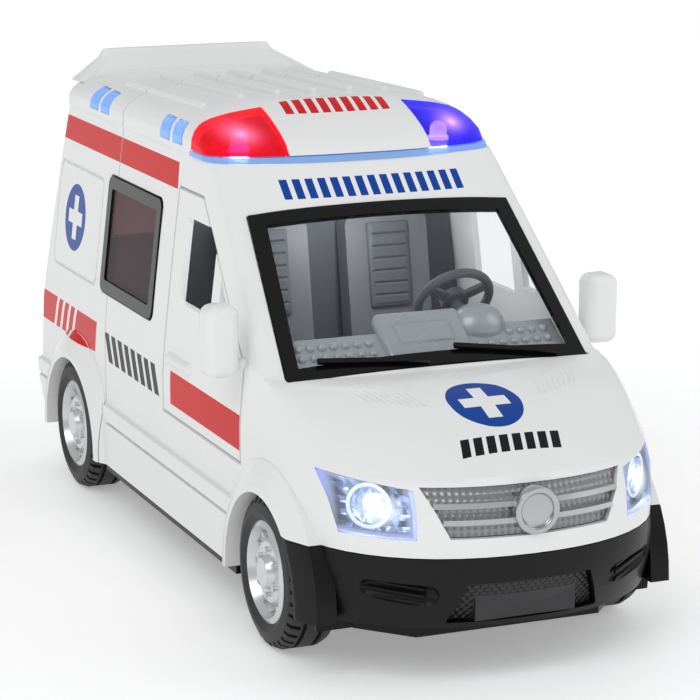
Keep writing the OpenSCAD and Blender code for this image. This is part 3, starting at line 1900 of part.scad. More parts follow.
// Half of the drive's case, open towards the middle, with bearings for the shafts
module gear_case(side) {
    mirror([side > 0 ? 0 : 1, 0, 0])
        difference() {
            translate([play / 2, case_front_y, case_low_z])
                cube([case_half_w - play / 2, case_rear_y - case_front_y, case_top_z - case_low_z]);
            translate([-overrun, case_front_y + case_t, case_low_z + case_t])
                cube([
                    case_half_w - case_t + overrun,
                    case_rear_y - case_front_y - 2 * case_t,
                    case_top_z - case_low_z - 2 * case_t]);
            translate([0, rear_axle_y, axle_z])
                rod_x(0, body_width, axle_r + play);
            translate([0, lay_y, lay_z])
                rod_x(0, body_width, shaft_r + running);
            translate([0, fly_y, fly_z])
                rod_x(0, body_width, shaft_r + running);
        }
}

module gear_case_left() {
    color("dimgray")
        gear_case(1);
}

module gear_case_right() {
    color("dimgray")
        gear_case(-1);
}

chassis();
front_shell();
rear_shell();
roof_cap();
lamp_tray();
red_lamp_lens();
blue_lamp_lens();
roof_lamp_leds();
side_light_lenses_left();
side_light_lenses_right();
front_bumper();
bumper_mesh();
grille();
headlight_lens_left();
headlight_lens_right();
headlight_bowl_left();
headlight_bowl_right();
headlight_leds();
windscreen_frame();
windscreen_glass();
wipers();
side_window_frame_left();
side_window_frame_right();
side_glass_left();
side_glass_right();
mirror_left();
mirror_right();
cab_floor();
dashboard();
steering_wheel();
seat_left();
seat_right();
bulkhead();
patient_bed();
rear_door_left();
rear_door_right();
rear_glass_left();
rear_glass_right();
hinge_pins();
tail_lamps();
front_axle();
rear_axle();
tyre_front_left();
tyre_front_right();
tyre_rear_left();
tyre_rear_right();
rim_front_left();
rim_front_right();
rim_rear_left();
rim_rear_right();
axle_gear();
lay_gear();
flywheel();
gear_case_left();
gear_case_right();
battery_cover();
button_cells();
circuit_board();
speaker();
switch_knob();
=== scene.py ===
"""Looks of a toy ambulance van: finishes, printed marks, lit lamps, cab trim, stage and camera."""

import json
import logging
import math
from dataclasses import dataclass
from enum import Enum
from typing import Any, Callable, Dict, List, Optional, Sequence, Set, Tuple, Union

import bpy
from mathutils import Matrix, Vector
from mathutils.bvhtree import BVHTree


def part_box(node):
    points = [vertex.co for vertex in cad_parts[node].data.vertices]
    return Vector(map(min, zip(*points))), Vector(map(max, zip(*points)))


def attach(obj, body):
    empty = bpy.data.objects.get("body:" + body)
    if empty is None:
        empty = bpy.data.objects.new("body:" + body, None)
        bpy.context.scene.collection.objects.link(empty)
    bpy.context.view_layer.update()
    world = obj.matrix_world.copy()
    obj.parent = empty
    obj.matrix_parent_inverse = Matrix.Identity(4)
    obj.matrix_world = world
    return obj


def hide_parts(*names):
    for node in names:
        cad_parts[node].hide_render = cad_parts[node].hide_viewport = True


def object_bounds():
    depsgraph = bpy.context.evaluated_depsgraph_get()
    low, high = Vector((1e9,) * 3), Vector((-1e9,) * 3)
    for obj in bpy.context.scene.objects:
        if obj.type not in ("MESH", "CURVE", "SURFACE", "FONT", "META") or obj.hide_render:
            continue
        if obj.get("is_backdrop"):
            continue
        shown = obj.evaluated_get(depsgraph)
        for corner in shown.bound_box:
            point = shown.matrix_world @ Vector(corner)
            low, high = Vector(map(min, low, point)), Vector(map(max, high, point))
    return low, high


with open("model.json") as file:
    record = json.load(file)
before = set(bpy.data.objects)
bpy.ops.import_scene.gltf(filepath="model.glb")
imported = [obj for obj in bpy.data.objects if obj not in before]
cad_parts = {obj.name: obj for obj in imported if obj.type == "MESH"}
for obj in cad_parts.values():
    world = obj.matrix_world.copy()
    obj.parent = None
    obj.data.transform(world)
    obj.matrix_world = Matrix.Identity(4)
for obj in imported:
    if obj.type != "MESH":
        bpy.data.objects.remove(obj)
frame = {"nodes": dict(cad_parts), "record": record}

logging.basicConfig(level=logging.INFO, format="%(message)s")
LOG = logging.getLogger("ambulance")

Colour = Tuple[float, float, float]
Place = Tuple[float, float, float]

MM = 0.001
PER_METRE = 1000.0
VAN = "van"
UP: Place = (0.0, 0.0, 1.0)
DOWN: Place = (0.0, 0.0, -1.0)
BACKWARDS: Place = (0.0, 1.0, 0.0)
FAR_ABOVE = 300.0
FAR_AHEAD = -400.0
FLAT_ON_TOP = 0.999
MERGE_WITHIN = 0.000001
BEVEL_SEGMENTS = 3
NORMAL_WEIGHT = 60

# CAD nodes that a class below has dressed or replaced
finished: Set[str] = set()


class Side(Enum):
    """The two sides of the van, as the sign of X."""

    LEFT = 1
    RIGHT = -1

    @property
    def word(self) -> str:
        """The side's name as CAD nodes spell it."""
        return self.name.lower()


class Grain(Enum):
    """Surface textures that a moulded finish can have."""

    POLISHED = 0
    SATIN = 1
    LEATHERY = 2


class LightKind(Enum):
    """Kinds of light in the studio."""

    AREA = "AREA"
    POINT = "POINT"


class Graph:
    """A node tree, with one method that adds any node."""

    def __init__(self, tree: bpy.types.NodeTree) -> None:
        """Keeps the tree."""
        self.tree = tree

    def plug(self, target: bpy.types.NodeSocket, value: Any) -> None:
        """Links an input or sets its constant.

        Args:
            target: The input.
            value: A wrapped or plain output, a colour or a number.
        """
        if isinstance(value, Sock):
            self.tree.links.new(value.socket, target)
        elif isinstance(value, bpy.types.NodeSocket):
            self.tree.links.new(value, target)
        elif isinstance(value, tuple):
            target.default_value = (*value, 1.0)
        else:
            target.default_value = value

    def node(self, kind: str, settings: Optional[Dict[str, Any]] = None,
             values: Optional[Dict[Any, Any]] = None) -> bpy.types.Node:
        """Adds a node.

        Args:
            kind: The node's type.
            settings: Its settings, which are set first.
            values: What goes into its inputs, by name or number.

        Returns:
            The node.
        """
        node = self.tree.nodes.new(kind)
        for name, setting in (settings or {}).items():
            setattr(node, name, setting)
        for key, value in (values or {}).items():
            self.plug(node.inputs[key], value)
        return node


class Sock:
    """A shader socket that takes part in ordinary arithmetic."""

    def __init__(self, graph: Graph, socket: bpy.types.NodeSocket) -> None:
        """Keeps the tree and the output that this stands for."""
        self.graph = graph
        self.socket = socket

    def math(self, operation: str, *operands: Union["Sock", float]) -> "Sock":
        """Adds a Math node.

        Args:
            operation: The node's operation.
            operands: Its one or two operands.

        Returns:
            The node's result.
        """
        node = self.graph.node("ShaderNodeMath", {"operation": operation}, dict(enumerate(operands)))
        return Sock(self.graph, node.outputs[0])

    def __add__(self, other: Union["Sock", float]) -> "Sock":
        """The sum."""
        return self.math("ADD", self, other)

    __radd__ = __add__

    def __sub__(self, other: Union["Sock", float]) -> "Sock":
        """The difference."""
        return self.math("SUBTRACT", self, other)

    def __rsub__(self, other: float) -> "Sock":
        """The difference from a number."""
        return self.math("SUBTRACT", other, self)

    def __mul__(self, other: Union["Sock", float]) -> "Sock":
        """The product."""
        return self.math("MULTIPLY", self, other)

    __rmul__ = __mul__

    def __truediv__(self, other: Union["Sock", float]) -> "Sock":
        """The quotient."""
        return self.math("DIVIDE", self, other)

    def __rtruediv__(self, other: float) -> "Sock":
        """A number divided by this."""
        return self.math("DIVIDE", other, self)

    def __pow__(self, other: float) -> "Sock":
        """This to a power."""
        return self.math("POWER", self, other)

    def __gt__(self, other: Union["Sock", float]) -> "Sock":
        """One where this is greater."""
        return self.math("GREATER_THAN", self, other)

    def __lt__(self, other: Union["Sock", float]) -> "Sock":
        """One where this is less."""
        return self.math("LESS_THAN", self, other)

    def __or__(self, other: "Sock") -> "Sock":
        """The greater of two masks."""
        return self.at_least(other)

    def __and__(self, other: "Sock") -> "Sock":
        """The product of two masks."""
        return self * other

    def __invert__(self) -> "Sock":
        """One minus this mask."""
        return 1.0 - self

    def __abs__(self) -> "Sock":
        """The absolute value."""
        return self.math("ABSOLUTE", self)

    def at_least(self, low: Union["Sock", float]) -> "Sock":
        """This, or a limit where that is greater."""
        return self.math("MAXIMUM", self, low)

    def at_most(self, high: Union["Sock", float]) -> "Sock":
        """This, or a limit where that is less."""
        return self.math("MINIMUM", self, high)

    def between(self, low: float, high: float) -> "Sock":
        """One between two limits."""
        return (self > low) & (self < high)

    def root(self) -> "Sock":
        """The square root."""
        return self.math("SQRT", self)

    def fract(self) -> "Sock":
        """The fractional part."""
        return self.math("FRACT", self)

    def wave(self, pitch: float) -> "Sock":
        """A triangle wave from 0 to 1 that repeats at a pitch."""
        return abs((self / pitch).fract() * 2.0 - 1.0)


def distance(across: Sock, along: Sock) -> Sock:
    """The distance from a point, from its two parts."""
    return (across * across + along * along).root()


@dataclass(frozen=True)
class Relief:
    """A relief of a surface: its share and its depth in metres."""

    strength: float
    depth: float


class Look:
    """A material under construction, with its coordinates in millimetres."""

    def __init__(self, name: str) -> None:
        """Starts a material.

        Args:
            name: The material's name.
        """
        self.material = bpy.data.materials.new(name)
        self.material.use_nodes = True
        self.graph = Graph(self.material.node_tree)
        self.bsdf = self.graph.tree.nodes["Principled BSDF"]
        self.out = self.graph.tree.nodes["Material Output"]
        coords = self.graph.node("ShaderNodeTexCoord")
        self.spot = coords.outputs["Object"]
        self.x, self.y, self.z = [axis * PER_METRE for axis in self.split(self.spot)]
        self.facing_x = self.split(coords.outputs["Normal"])[0]

    def split(self, vector: bpy.types.NodeSocket) -> List[Sock]:
        """The three parts of a vector."""
        node = self.graph.node("ShaderNodeSeparateXYZ", values={0: vector})
        return [Sock(self.graph, part) for part in node.outputs]

    def noise(self, scale: float, detail: float = 3.0) -> Sock:
        """Makes noise from 0 to 1.

        Args:
            scale: Its cells in a metre.
            detail: Its octaves.

        Returns:
            The noise.
        """
        values = {"Vector": self.spot, "Scale": scale, "Detail": detail}
        return Sock(self.graph, self.graph.node("ShaderNodeTexNoise", values=values).outputs["Fac"])

    def mix(self, factor: Sock, low: Union[Sock, Colour], high: Union[Sock, Colour]) -> Sock:
        """Mixes two colours.

        Args:
            factor: The share of the second.
            low: The first colour.
            high: The second colour.

        Returns:
            The mixed colour.
        """
        node = self.graph.node("ShaderNodeMix", {"data_type": "RGBA"}, {0: factor, 6: low, 7: high})
        return Sock(self.graph, node.outputs[2])

    def feed(self, name: str, value: Union[Sock, float, Colour]) -> None:
        """Links or sets an input of the surface."""
        self.graph.plug(self.bsdf.inputs[name], value)

    def bump(self, height: Sock, relief: Relief) -> None:
        """Gives the surface a relief.

        Args:
            height: The height, from 0 to 1.
            relief: The relief's share and depth.
        """
        values = {"Strength": relief.strength, "Distance": relief.depth, "Height": height}
        node = self.graph.node("ShaderNodeBump", values=values)
        self.graph.plug(self.bsdf.inputs["Normal"], node.outputs[0])

    def see_through(self, tint: Colour, solid_share: Union[Sock, float]) -> None:
        """Lets light pass with a tint.

        Args:
            tint: The colour of the light that passes.
            solid_share: The share of the surface that stays.
        """
        clear = self.graph.node("ShaderNodeBsdfTransparent", values={0: tint})
        values = {0: solid_share, 1: clear.outputs[0], 2: self.bsdf.outputs[0]}
        blend = self.graph.node("ShaderNodeMixShader", values=values)
        self.graph.plug(self.out.inputs["Surface"], blend.outputs[0])


def shaded(colour: Colour, share: float) -> Colour:
    """A colour with each part at a share of its strength."""
    return (colour[0] * share, colour[1] * share, colour[2] * share)


@dataclass(frozen=True)
class Texture:
    """A relief made of noise: cells in a metre, octaves and the relief."""

    scale: float
    detail: float
    relief: Relief


TEXTURES: Dict[Grain, Texture] = {
    Grain.SATIN: Texture(2600.0, 2.0, Relief(0.12, 0.0001)),
    Grain.LEATHERY: Texture(1500.0, 4.0, Relief(0.3, 0.0002)),
}


@dataclass(frozen=True)
class Moulding:
    """A moulded plastic or painted finish with slight unevenness."""

    name: str
    colour: Colour
    roughness: float = 0.3
    metallic: float = 0.0
    coat: float = 0.0
    gleam: float = 0.5
    grain: Grain = Grain.POLISHED
    cloud_scale: float = 60.0
    dark_share: float = 0.955
    uneven: float = 0.08
    coat_roughness: float = 0.06

    def look(self) -> Look:
        """Makes the material.

        Returns:
            The material, which can still be added to.
        """
        look = Look(self.name)
        cloud = look.noise(self.cloud_scale)
        look.feed("Base Color", look.mix(cloud, shaded(self.colour, self.dark_share), self.colour))
        look.feed("Roughness", cloud * self.uneven + (self.roughness - self.uneven / 2.0))
        look.feed("Metallic", self.metallic)
        look.feed("Coat Weight", self.coat)
        look.feed("Coat Roughness", self.coat_roughness)
        look.feed("Specular IOR Level", self.gleam)
        if self.grain in TEXTURES:
            texture = TEXTURES[self.grain]
            look.bump(look.noise(texture.scale, texture.detail), texture.relief)
        return look


@dataclass(frozen=True)
class Clear:
    """A clear or tinted plastic that light passes through."""

    name: str
    colour: Colour
    tint: Colour
    solid: float
    glow: float = 0.0
    roughness: float = 0.06
    cloud_scale: float = 45.0
    dark_share: float = 0.9
    uneven: float = 0.04

    def look(self) -> Look:
        """Makes the material.

        Returns:
            The material.
        """
        look = Look(self.name)
        cloud = look.noise(self.cloud_scale)
        tone = look.mix(cloud, shaded(self.colour, self.dark_share), self.colour)
        look.feed("Base Color", tone)
        look.feed("Roughness", cloud * self.uneven + self.roughness)
        if self.glow:
            look.feed("Emission Color", tone)
            look.feed("Emission Strength", self.glow)
        look.see_through(self.tint, self.solid)
        return look


@dataclass(frozen=True)
class LitLens:
    """A coloured lens over a lit diode, with a bright heart that fades towards the rim."""

    name: str
    rim: Colour
    heart: Colour
    tint: Colour
    solid: float = 0.42
    heart_share: float = 0.5
    strength: float = 0.8
    focus: float = 2.8
    roughness: float = 0.05
    uneven: float = 0.04
    cloud_scale: float = 45.0

    def look(self, node: str) -> Look:
        """Makes the material for a lens.

        Args:
            node: The lens's CAD node, whose middle is the bright heart.

        Returns:
            The material.
        """
        look = Look(self.name)
        low, high = box_mm(node)
        middle = (low + high) / 2.0
        reach = (high - low) / 2.0
        off = distance((look.x - middle.x) / reach.x, (look.z - middle.z) / reach.z)
        heart = (1.0 - off).at_least(0.0) ** self.focus
        tone = look.mix(heart, self.rim, self.heart)
        look.feed("Base Color", tone)
        look.feed("Roughness", look.noise(self.cloud_scale) * self.uneven + self.roughness)
        look.feed("Emission Color", tone)
        look.feed("Emission Strength", self.strength)
        look.see_through(self.tint, heart * self.heart_share + self.solid)
        return look


@dataclass(frozen=True)
class Glow:
    """The body of a lit diode, unevenly bright."""

    name: str
    colour: Colour
    strength: float
    cloud_scale: float = 300.0

    def look(self) -> Look:
        """Makes the material.

        Returns:
            The material.
        """
        look = Look(self.name)
        tone = look.mix(look.noise(self.cloud_scale), self.colour, FULL_WHITE)
        look.feed("Base Color", tone)
        look.feed("Emission Color", tone)
        look.feed("Emission Strength", self.strength)
        return look


FULL_WHITE: Colour = (1.0, 1.0, 1.0)
WHITE: Colour = (0.86, 0.86, 0.855)
RED: Colour = (0.66, 0.002, 0.002)
BLUE: Colour = (0.008, 0.06, 0.33)
INK: Colour = (0.012, 0.012, 0.014)
# painted shade in the grooves of the cab doors and in the joint of the body mouldings
GROOVE_SHADE: Colour = (0.42, 0.42, 0.43)

# Finishes by the record's material slots
FINISHES: Dict[str, Union[Moulding, Clear]] = {
    "black": Moulding("black_plastic", (0.007, 0.007, 0.0075), 0.34, gleam=0.2, grain=Grain.SATIN),
    "gloss_black": Moulding("gloss_black_plastic", (0.004, 0.004, 0.0045), 0.1, gleam=0.25),
    "dark_grey": Moulding("dark_grey_plastic", (0.15, 0.155, 0.165), 0.4, grain=Grain.LEATHERY),
    "grey": Moulding("grey_plastic", (0.6, 0.61, 0.63), 0.28, metallic=0.3, grain=Grain.SATIN),
    "silver_plastic": Moulding("silver_paint", (0.66, 0.665, 0.675), 0.27, metallic=0.7),
    "chrome": Moulding("plated_reflector", (0.86, 0.88, 0.92), 0.08, metallic=1.0),
    "red": Moulding("tail_lamp_red", RED, 0.15, coat=0.6),
    "tyre": Moulding("tyre_black", (0.02, 0.02, 0.021), 0.55, grain=Grain.LEATHERY),
    "steel": Moulding("plain_steel", (0.55, 0.55, 0.57), 0.28, metallic=1.0, grain=Grain.SATIN),
    "gear": Moulding("gear_plastic", (0.75, 0.72, 0.62), 0.35),
    "board": Moulding("board_green", (0.03, 0.2, 0.08), 0.4, grain=Grain.SATIN),
    "clear": Clear("clear_plastic", (0.08, 0.09, 0.1), (0.96, 0.97, 0.975), 0.08, roughness=0.01),
    "smoke": Clear("smoked_plastic", (0.09, 0.05, 0.06), (0.66, 0.52, 0.55), 0.28),
}


class Palette:
    """Makes each finish once, by its slot's name."""

    def __init__(self) -> None:
        """Starts with no materials."""
        self.made: Dict[str, bpy.types.Material] = {}

    def get(self, slot: str) -> bpy.types.Material:
        """Finds or makes a slot's material.

        Args:
            slot: A key of FINISHES.

        Returns:
            The material.
        """
        if slot not in self.made:
            self.made[slot] = FINISHES[slot].look().material
        return self.made[slot]


PALETTE = Palette()


def box_mm(node: str) -> Tuple[Vector, Vector]:
    """The lowest and highest corners of a CAD node, in millimetres."""
    low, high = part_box(node)
    return Vector(low) / MM, Vector(high) / MM


def pick(obj: bpy.types.Object) -> None:
    """Makes an object the only selected and the active one.

    Args:
        obj: The object.
    """
    bpy.ops.object.select_all(action="DESELECT")
    obj.select_set(True)
    bpy.context.view_layer.objects.active = obj


def wear(obj: bpy.types.Object, material: bpy.types.Material) -> None:
    """Gives a mesh object its only material."""
    obj.data.materials.clear()
    obj.data.materials.append(material)


def dress(node: str, material: bpy.types.Material) -> None:
    """Gives a CAD node its material.

    Args:
        node: The CAD node.
        material: Its only material.
    """
    wear(frame["nodes"][node], material)
    finished.add(node)
    LOG.info("finish %s on %s", material.name, node)


def settle(obj: bpy.types.Object, name: str, material: bpy.types.Material,
           node: Optional[str] = None) -> None:
    """Names a new piece, gives it its material and makes it ride on the van.

    Args:
        obj: The piece.
        name: Its name.
        material: Its material.
        node: The CAD node that it replaces, if any.
    """
    obj.name = name
    wear(obj, material)
    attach(obj, VAN)
    if node:
        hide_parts(node)
        finished.add(node)
    LOG.info("piece %s on %s", name, VAN)


def touch(node: str, start: Sequence[float], way: Sequence[float]) -> Tuple[Vector, Vector]:
    """Finds where a straight line first meets a CAD node.

    Args:
        node: The CAD node.
        start: Where the line starts, in millimetres.
        way: The line's direction.

    Returns:
        The place in metres and the surface's normal there.

    Raises:
        ValueError: If the line misses the node.
    """
    mesh = frame["nodes"][node].data
    tree = BVHTree.FromPolygons([v.co for v in mesh.vertices], [tuple(f.vertices) for f in mesh.polygons])
    place, normal, _, _ = tree.ray_cast(Vector(start) * MM, Vector(way))
    if place is None:
        raise ValueError(f"no surface of {node} on the line from {tuple(start)}")
    return place, normal


def choose_faces(obj: bpy.types.Object, wanted: Callable[[bpy.types.MeshPolygon], bool]) -> None:
    """Selects faces of the active mesh and leaves it in edit mode.

    Args:
        obj: The mesh object.
        wanted: Says whether a face is selected.
    """
    bpy.ops.object.mode_set(mode="EDIT")
    bpy.ops.mesh.select_mode(type="FACE")
    bpy.ops.mesh.select_all(action="DESELECT")
    bpy.ops.object.mode_set(mode="OBJECT")
    for face in obj.data.polygons:
        face.select = wanted(face)
    bpy.ops.object.mode_set(mode="EDIT")


def choose_top(obj: bpy.types.Object) -> None:
    """Selects the faces that point straight up and leaves the mesh in edit mode."""
    choose_faces(obj, lambda face: face.normal.z > FLAT_ON_TOP)


def round_edges(obj: bpy.types.Object, width: float, angle: float) -> None:
    """Bevels the sharp edges of the active mesh.

    Args:
        obj: The mesh object.
        width: The bevel's width, in millimetres.
        angle: The edge angle in degrees above which an edge is sharp.
    """
    bevel = obj.modifiers.new("rounding", "BEVEL")
    bevel.limit_method = "ANGLE"
    bevel.angle_limit = math.radians(angle)
    bevel.width = width * MM
    bevel.segments = BEVEL_SEGMENTS
    bpy.ops.object.modifier_apply(modifier=bevel.name)


def block(size: Place, rounding: float, segments: int) -> bpy.types.Object:
    """Models a block with round edges at the origin.

    Args:
        size: Its sizes, in millimetres.
        rounding: The width of its rounding, in millimetres.
        segments: The rounding's segments.

    Returns:
        The block, in object mode.
    """
    bpy.ops.object.select_all(action="DESELECT")
    bpy.ops.mesh.primitive_cube_add(size=1.0)
    obj = bpy.context.object
    obj.scale = Vector(size) * MM
    bpy.ops.object.transform_apply(scale=True)
    bpy.ops.object.mode_set(mode="EDIT")
    bpy.ops.mesh.select_all(action="SELECT")
    bpy.ops.mesh.bevel(offset=rounding * MM, segments=segments, affect="EDGES")
    bpy.ops.object.mode_set(mode="OBJECT")
    return obj


def own_copy(first: bpy.types.Object, name: str) -> bpy.types.Object:
    """Copies a modelled piece with a mesh of its own.

    Args:
        first: The piece.
        name: The copy's name.

    Returns:
        The copy.
    """
    obj = bpy.data.objects.new(name, first.data.copy())
    bpy.context.scene.collection.objects.link(obj)
    return obj


def place_on(obj: bpy.types.Object, place: Vector, normal: Vector) -> None:
    """Turns a piece that was modelled upright at the origin onto a surface.

    Args:
        obj: The piece.
        place: Where its foot goes, in metres.
        normal: The direction that its top then faces.
    """
    pick(obj)
    obj.rotation_euler = normal.to_track_quat("Z", "Y").to_euler()
    obj.location = place
    bpy.ops.object.transform_apply(location=True, rotation=True)


def smooth_copy(node: str, angle: float) -> bpy.types.Object:
    """Copies a CAD node with its facets merged into smooth faces.

    Args:
        node: The CAD node.
        angle: The edge angle in degrees above which an edge stays sharp.

    Returns:
        The copy, at the origin.
    """
    obj = own_copy(frame["nodes"][node], node + "_skin")
    pick(obj)
    bpy.ops.object.mode_set(mode="EDIT")
    bpy.ops.mesh.select_all(action="SELECT")
    bpy.ops.mesh.customdata_custom_splitnormals_clear()
    bpy.ops.mesh.remove_doubles(threshold=MERGE_WITHIN)
    bpy.ops.object.mode_set(mode="OBJECT")
    bpy.ops.object.shade_smooth_by_angle(angle=math.radians(angle))
    even = obj.modifiers.new("even_normals", "WEIGHTED_NORMAL")
    even.keep_sharp = True
    even.weight = NORMAL_WEIGHT
    bpy.ops.object.modifier_apply(modifier=even.name)
    return obj


@dataclass(frozen=True)
class Span:
    """A stretch between two limits, in millimetres."""

    low: float
    high: float

    @property
    def middle(self) -> float:
        """The middle of the stretch."""
        return (self.low + self.high) / 2.0

    def mask(self, along: Sock) -> Sock:
        """One inside the stretch."""
        return along.between(self.low, self.high)


@dataclass(frozen=True)
class Bars:
    """A row of whole bars, in millimetres."""

    start: float
    count: int
    pitch: float
    share: float

    def mask(self, along: Sock) -> Sock:
        """One on the bars, from the distance along the row."""
        inside = Span(self.start, self.start + self.count * self.pitch).mask(along)
        return (((along - self.start) / self.pitch).fract() < self.share) & inside


@dataclass(frozen=True)
class Roundel:
    """A blue disc with a white plus, in millimetres on the surface that carries it."""

    along: float
    up: float
    radius: float
    arm_share: float = 0.66
    thin_share: float = 0.2

    def mask(self, across: Sock, along: Sock) -> Sock:
        """Finds the disc without its plus.

        Args:
            across: The distance from the centre one way.
            along: The distance the other way.

        Returns:
            One where the disc is blue.
        """
        arm = self.radius * self.arm_share
        thin = self.radius * self.thin_share
        level = (abs(across) < arm) & (abs(along) < thin)
        upright = (abs(across) < thin) & (abs(along) < arm)
        return (distance(across, along) < self.radius) & ~(level | upright)


@dataclass
class SideMarks:
    """Stripes, bars and a roundel on both sides, in millimetres."""

    band: Span = Span(47.8, 57.6)
    band_lean_z: float = 53.0
    front_band: Span = Span(-60.0, -1.5)
    rear_band: Span = Span(70.0, 133.0)
    rear_band_lean: float = 0.2
    hatch: Bars = Bars(92.0, 4, 6.4, 0.36)
    upper_band: Span = Span(108.6, 116.2)
    upper_lean_z: float = 112.0
    upper_lean: float = 0.12
    upper_from: float = 7.0
    block_band: Span = Span(47.6, 56.4)
    blocks: Bars = Bars(11.0, 8, 6.3, 0.66)
    bar_lean: float = 0.45
    roundel: Roundel = Roundel(99.5, 85.5, 10.6)

    def masks(self, look: Look, wide: Sock) -> List[Tuple[Sock, Colour]]:
        """Lays out the marks.

        Args:
            look: The material that carries them.
            wide: One on the outer sides.

        Returns:
            The marks' masks with their inks, in the order of printing.
        """
        y, z = look.y, look.z
        lower = self.band.mask(z) & wide
        slant = (z - self.band_lean_z) * self.bar_lean
        rear_y = y + (z - self.band_lean_z) * self.rear_band_lean
        rear = (rear_y > self.rear_band.low) & (y < self.rear_band.high)
        upper_y = y - (z - self.upper_lean_z) * self.upper_lean
        upper = self.upper_band.mask(z) & wide & (upper_y > self.upper_from)
        disc = self.roundel.mask(y - self.roundel.along, z - self.roundel.up)
        return [
            (lower & self.front_band.mask(y), RED),
            (lower & rear & ~self.hatch.mask(y + slant), RED),
            (upper, RED),
            (self.block_band.mask(z) & wide & self.blocks.mask(y - slant), INK),
            (disc & wide, BLUE),
        ]


@dataclass
class FrontMarks:
    """Marks on the bonnet, on the header of the windscreen and on the roof's front, in millimetres."""

    bonnet_low: float = 56.0
    bonnet_rear: float = -86.0
    roundel: Roundel = Roundel(-106.5, 0.0, 10.0)
    foreshortening: float = 0.92
    bonnet_band: Span = Span(-125.6, -120.0)
    bonnet_bars: Bars = Bars(-14.0, 8, 3.6, 0.68)
    header_band: Span = Span(110.9, 115.6)
    header_depth: Span = Span(-45.0, -24.0)
    header_dashes: Bars = Bars(-27.2, 15, 3.7, 0.62)
    roof_band: Span = Span(130.6, 133.6)
    roof_lean_z: float = 132.0
    roof_bars: Bars = Bars(-16.0, 9, 3.7, 0.66)
    lean: float = 0.3

    def masks(self, look: Look) -> List[Tuple[Sock, Colour]]:
        """Lays out the marks.

        Args:
            look: The material that carries them.

        Returns:
            The marks' masks with their inks, in the order of printing.
        """
        x, y, z = look.x, look.y, look.z
        bonnet = (z > self.bonnet_low) & (y < self.bonnet_rear)
        disc = self.roundel.mask(x, (y - self.roundel.along) * self.foreshortening)
        bars = self.bonnet_bars.mask(x - (y - self.bonnet_band.middle) * self.lean)
        header = self.header_band.mask(z) & self.header_depth.mask(y)
        roof = self.roof_band.mask(z) & (y < 0.0)
        roof_bars = self.roof_bars.mask(x - (z - self.roof_lean_z) * self.lean)
        return [
            (disc & bonnet, BLUE),
            (bonnet & self.bonnet_band.mask(y) & bars, INK),
            (header & self.header_dashes.mask(x), BLUE),
            (roof & roof_bars, RED),
        ]


@dataclass
class DoorGrooves:
    """Painted shade in the grooves of the cab doors and in the joint of the two body mouldings, in
    millimetres.
    """

    rear_y: float = 5.0
    front_y: float = -59.5
    sill_z: float = 44.5
    waist_z: float = 71.0
    top_z: float = 109.5
    top_front_y: float = -15.0
    pillar_slope: float = 1.1443
    half: float = 0.45
    level_half: float = 0.4
    pillar_half: float = 0.6
    margin: float = 0.3
    margin_y: float = 0.5
    seam_y: float = 60.5
    seam_half: float = 0.25

    def mask(self, look: Look, wide: Sock) -> Sock:
        """Finds the grooves.

        Args:
            look: The material that carries them.
            wide: One on the outer sides.

        Returns:
            One in the grooves.
        """
        y, z = look.y, look.z
        rear = abs(y - self.rear_y) < self.half
        front = (abs(y - self.front_y) < self.half) & (z < self.waist_z)
        lean = (y - self.front_y) - (z - self.waist_z) * self.pillar_slope
        pillar = (abs(lean) < self.pillar_half) & (z > self.waist_z)
        sill = abs(z - self.sill_z) < self.level_half
        top = (abs(z - self.top_z) < self.level_half) & (y > self.top_front_y)
        tall = z.between(self.sill_z - self.margin, self.top_z + self.margin)
        long = y.between(self.front_y - self.margin_y, self.rear_y + self.margin_y)
        door = tall & long & (rear | front | pillar | sill | top)
        seam = abs(y - self.seam_y) < self.seam_half
        return (door | seam) & wide


@dataclass
class BodyShell:
    """The white mouldings: nose and cab, rear body, roof cap, mirrors and rear doors."""

    printed: Sequence[str] = ("front_shell", "rear_shell", "roof_cap")
    plain: Sequence[str] = ("mirror_left", "mirror_right")
    side_from: float = 41.0
    printed_angle: float = 32.0
    plain_angle: float = 40.0
    white: Moulding = Moulding("white_plastic", WHITE, 0.16, gleam=0.09)
    body: Moulding = Moulding("white_body_plastic", WHITE, 0.16, gleam=0.09)
    dark_share: float = 0.965

    def paint(self) -> bpy.types.Material:
        """Prints the marks on the white plastic and paints shade into the door grooves and the joint.

        Returns:
            The material of the printed mouldings.
        """
        look = self.body.look()
        wide = (abs(look.x) > self.side_from) & (look.facing_x * look.x > 0.0)
        marks = SideMarks().masks(look, wide) + FrontMarks().masks(look)
        # painted shade: the door grooves and the joint are darkened in the colour, over the print
        marks.append((DoorGrooves().mask(look, wide), GROOVE_SHADE))
        tone = look.mix(look.noise(self.body.cloud_scale), shaded(WHITE, self.dark_share), WHITE)
        for mask, ink_or_shade in marks:
            tone = look.mix(mask, tone, ink_or_shade)
        look.feed("Base Color", tone)
        return look.material

    def build(self) -> None:
        """Builds the smooth mouldings and finishes the doors."""
        printed = self.paint()
        white = self.white.look().material
        for node in self.printed:
            settle(smooth_copy(node, self.printed_angle), node + "_moulding", printed, node)
        for node in self.plain:
            settle(smooth_copy(node, self.plain_angle), node + "_moulding", white, node)
        for side in Side:
            dress(f"rear_door_{side.word}", white)


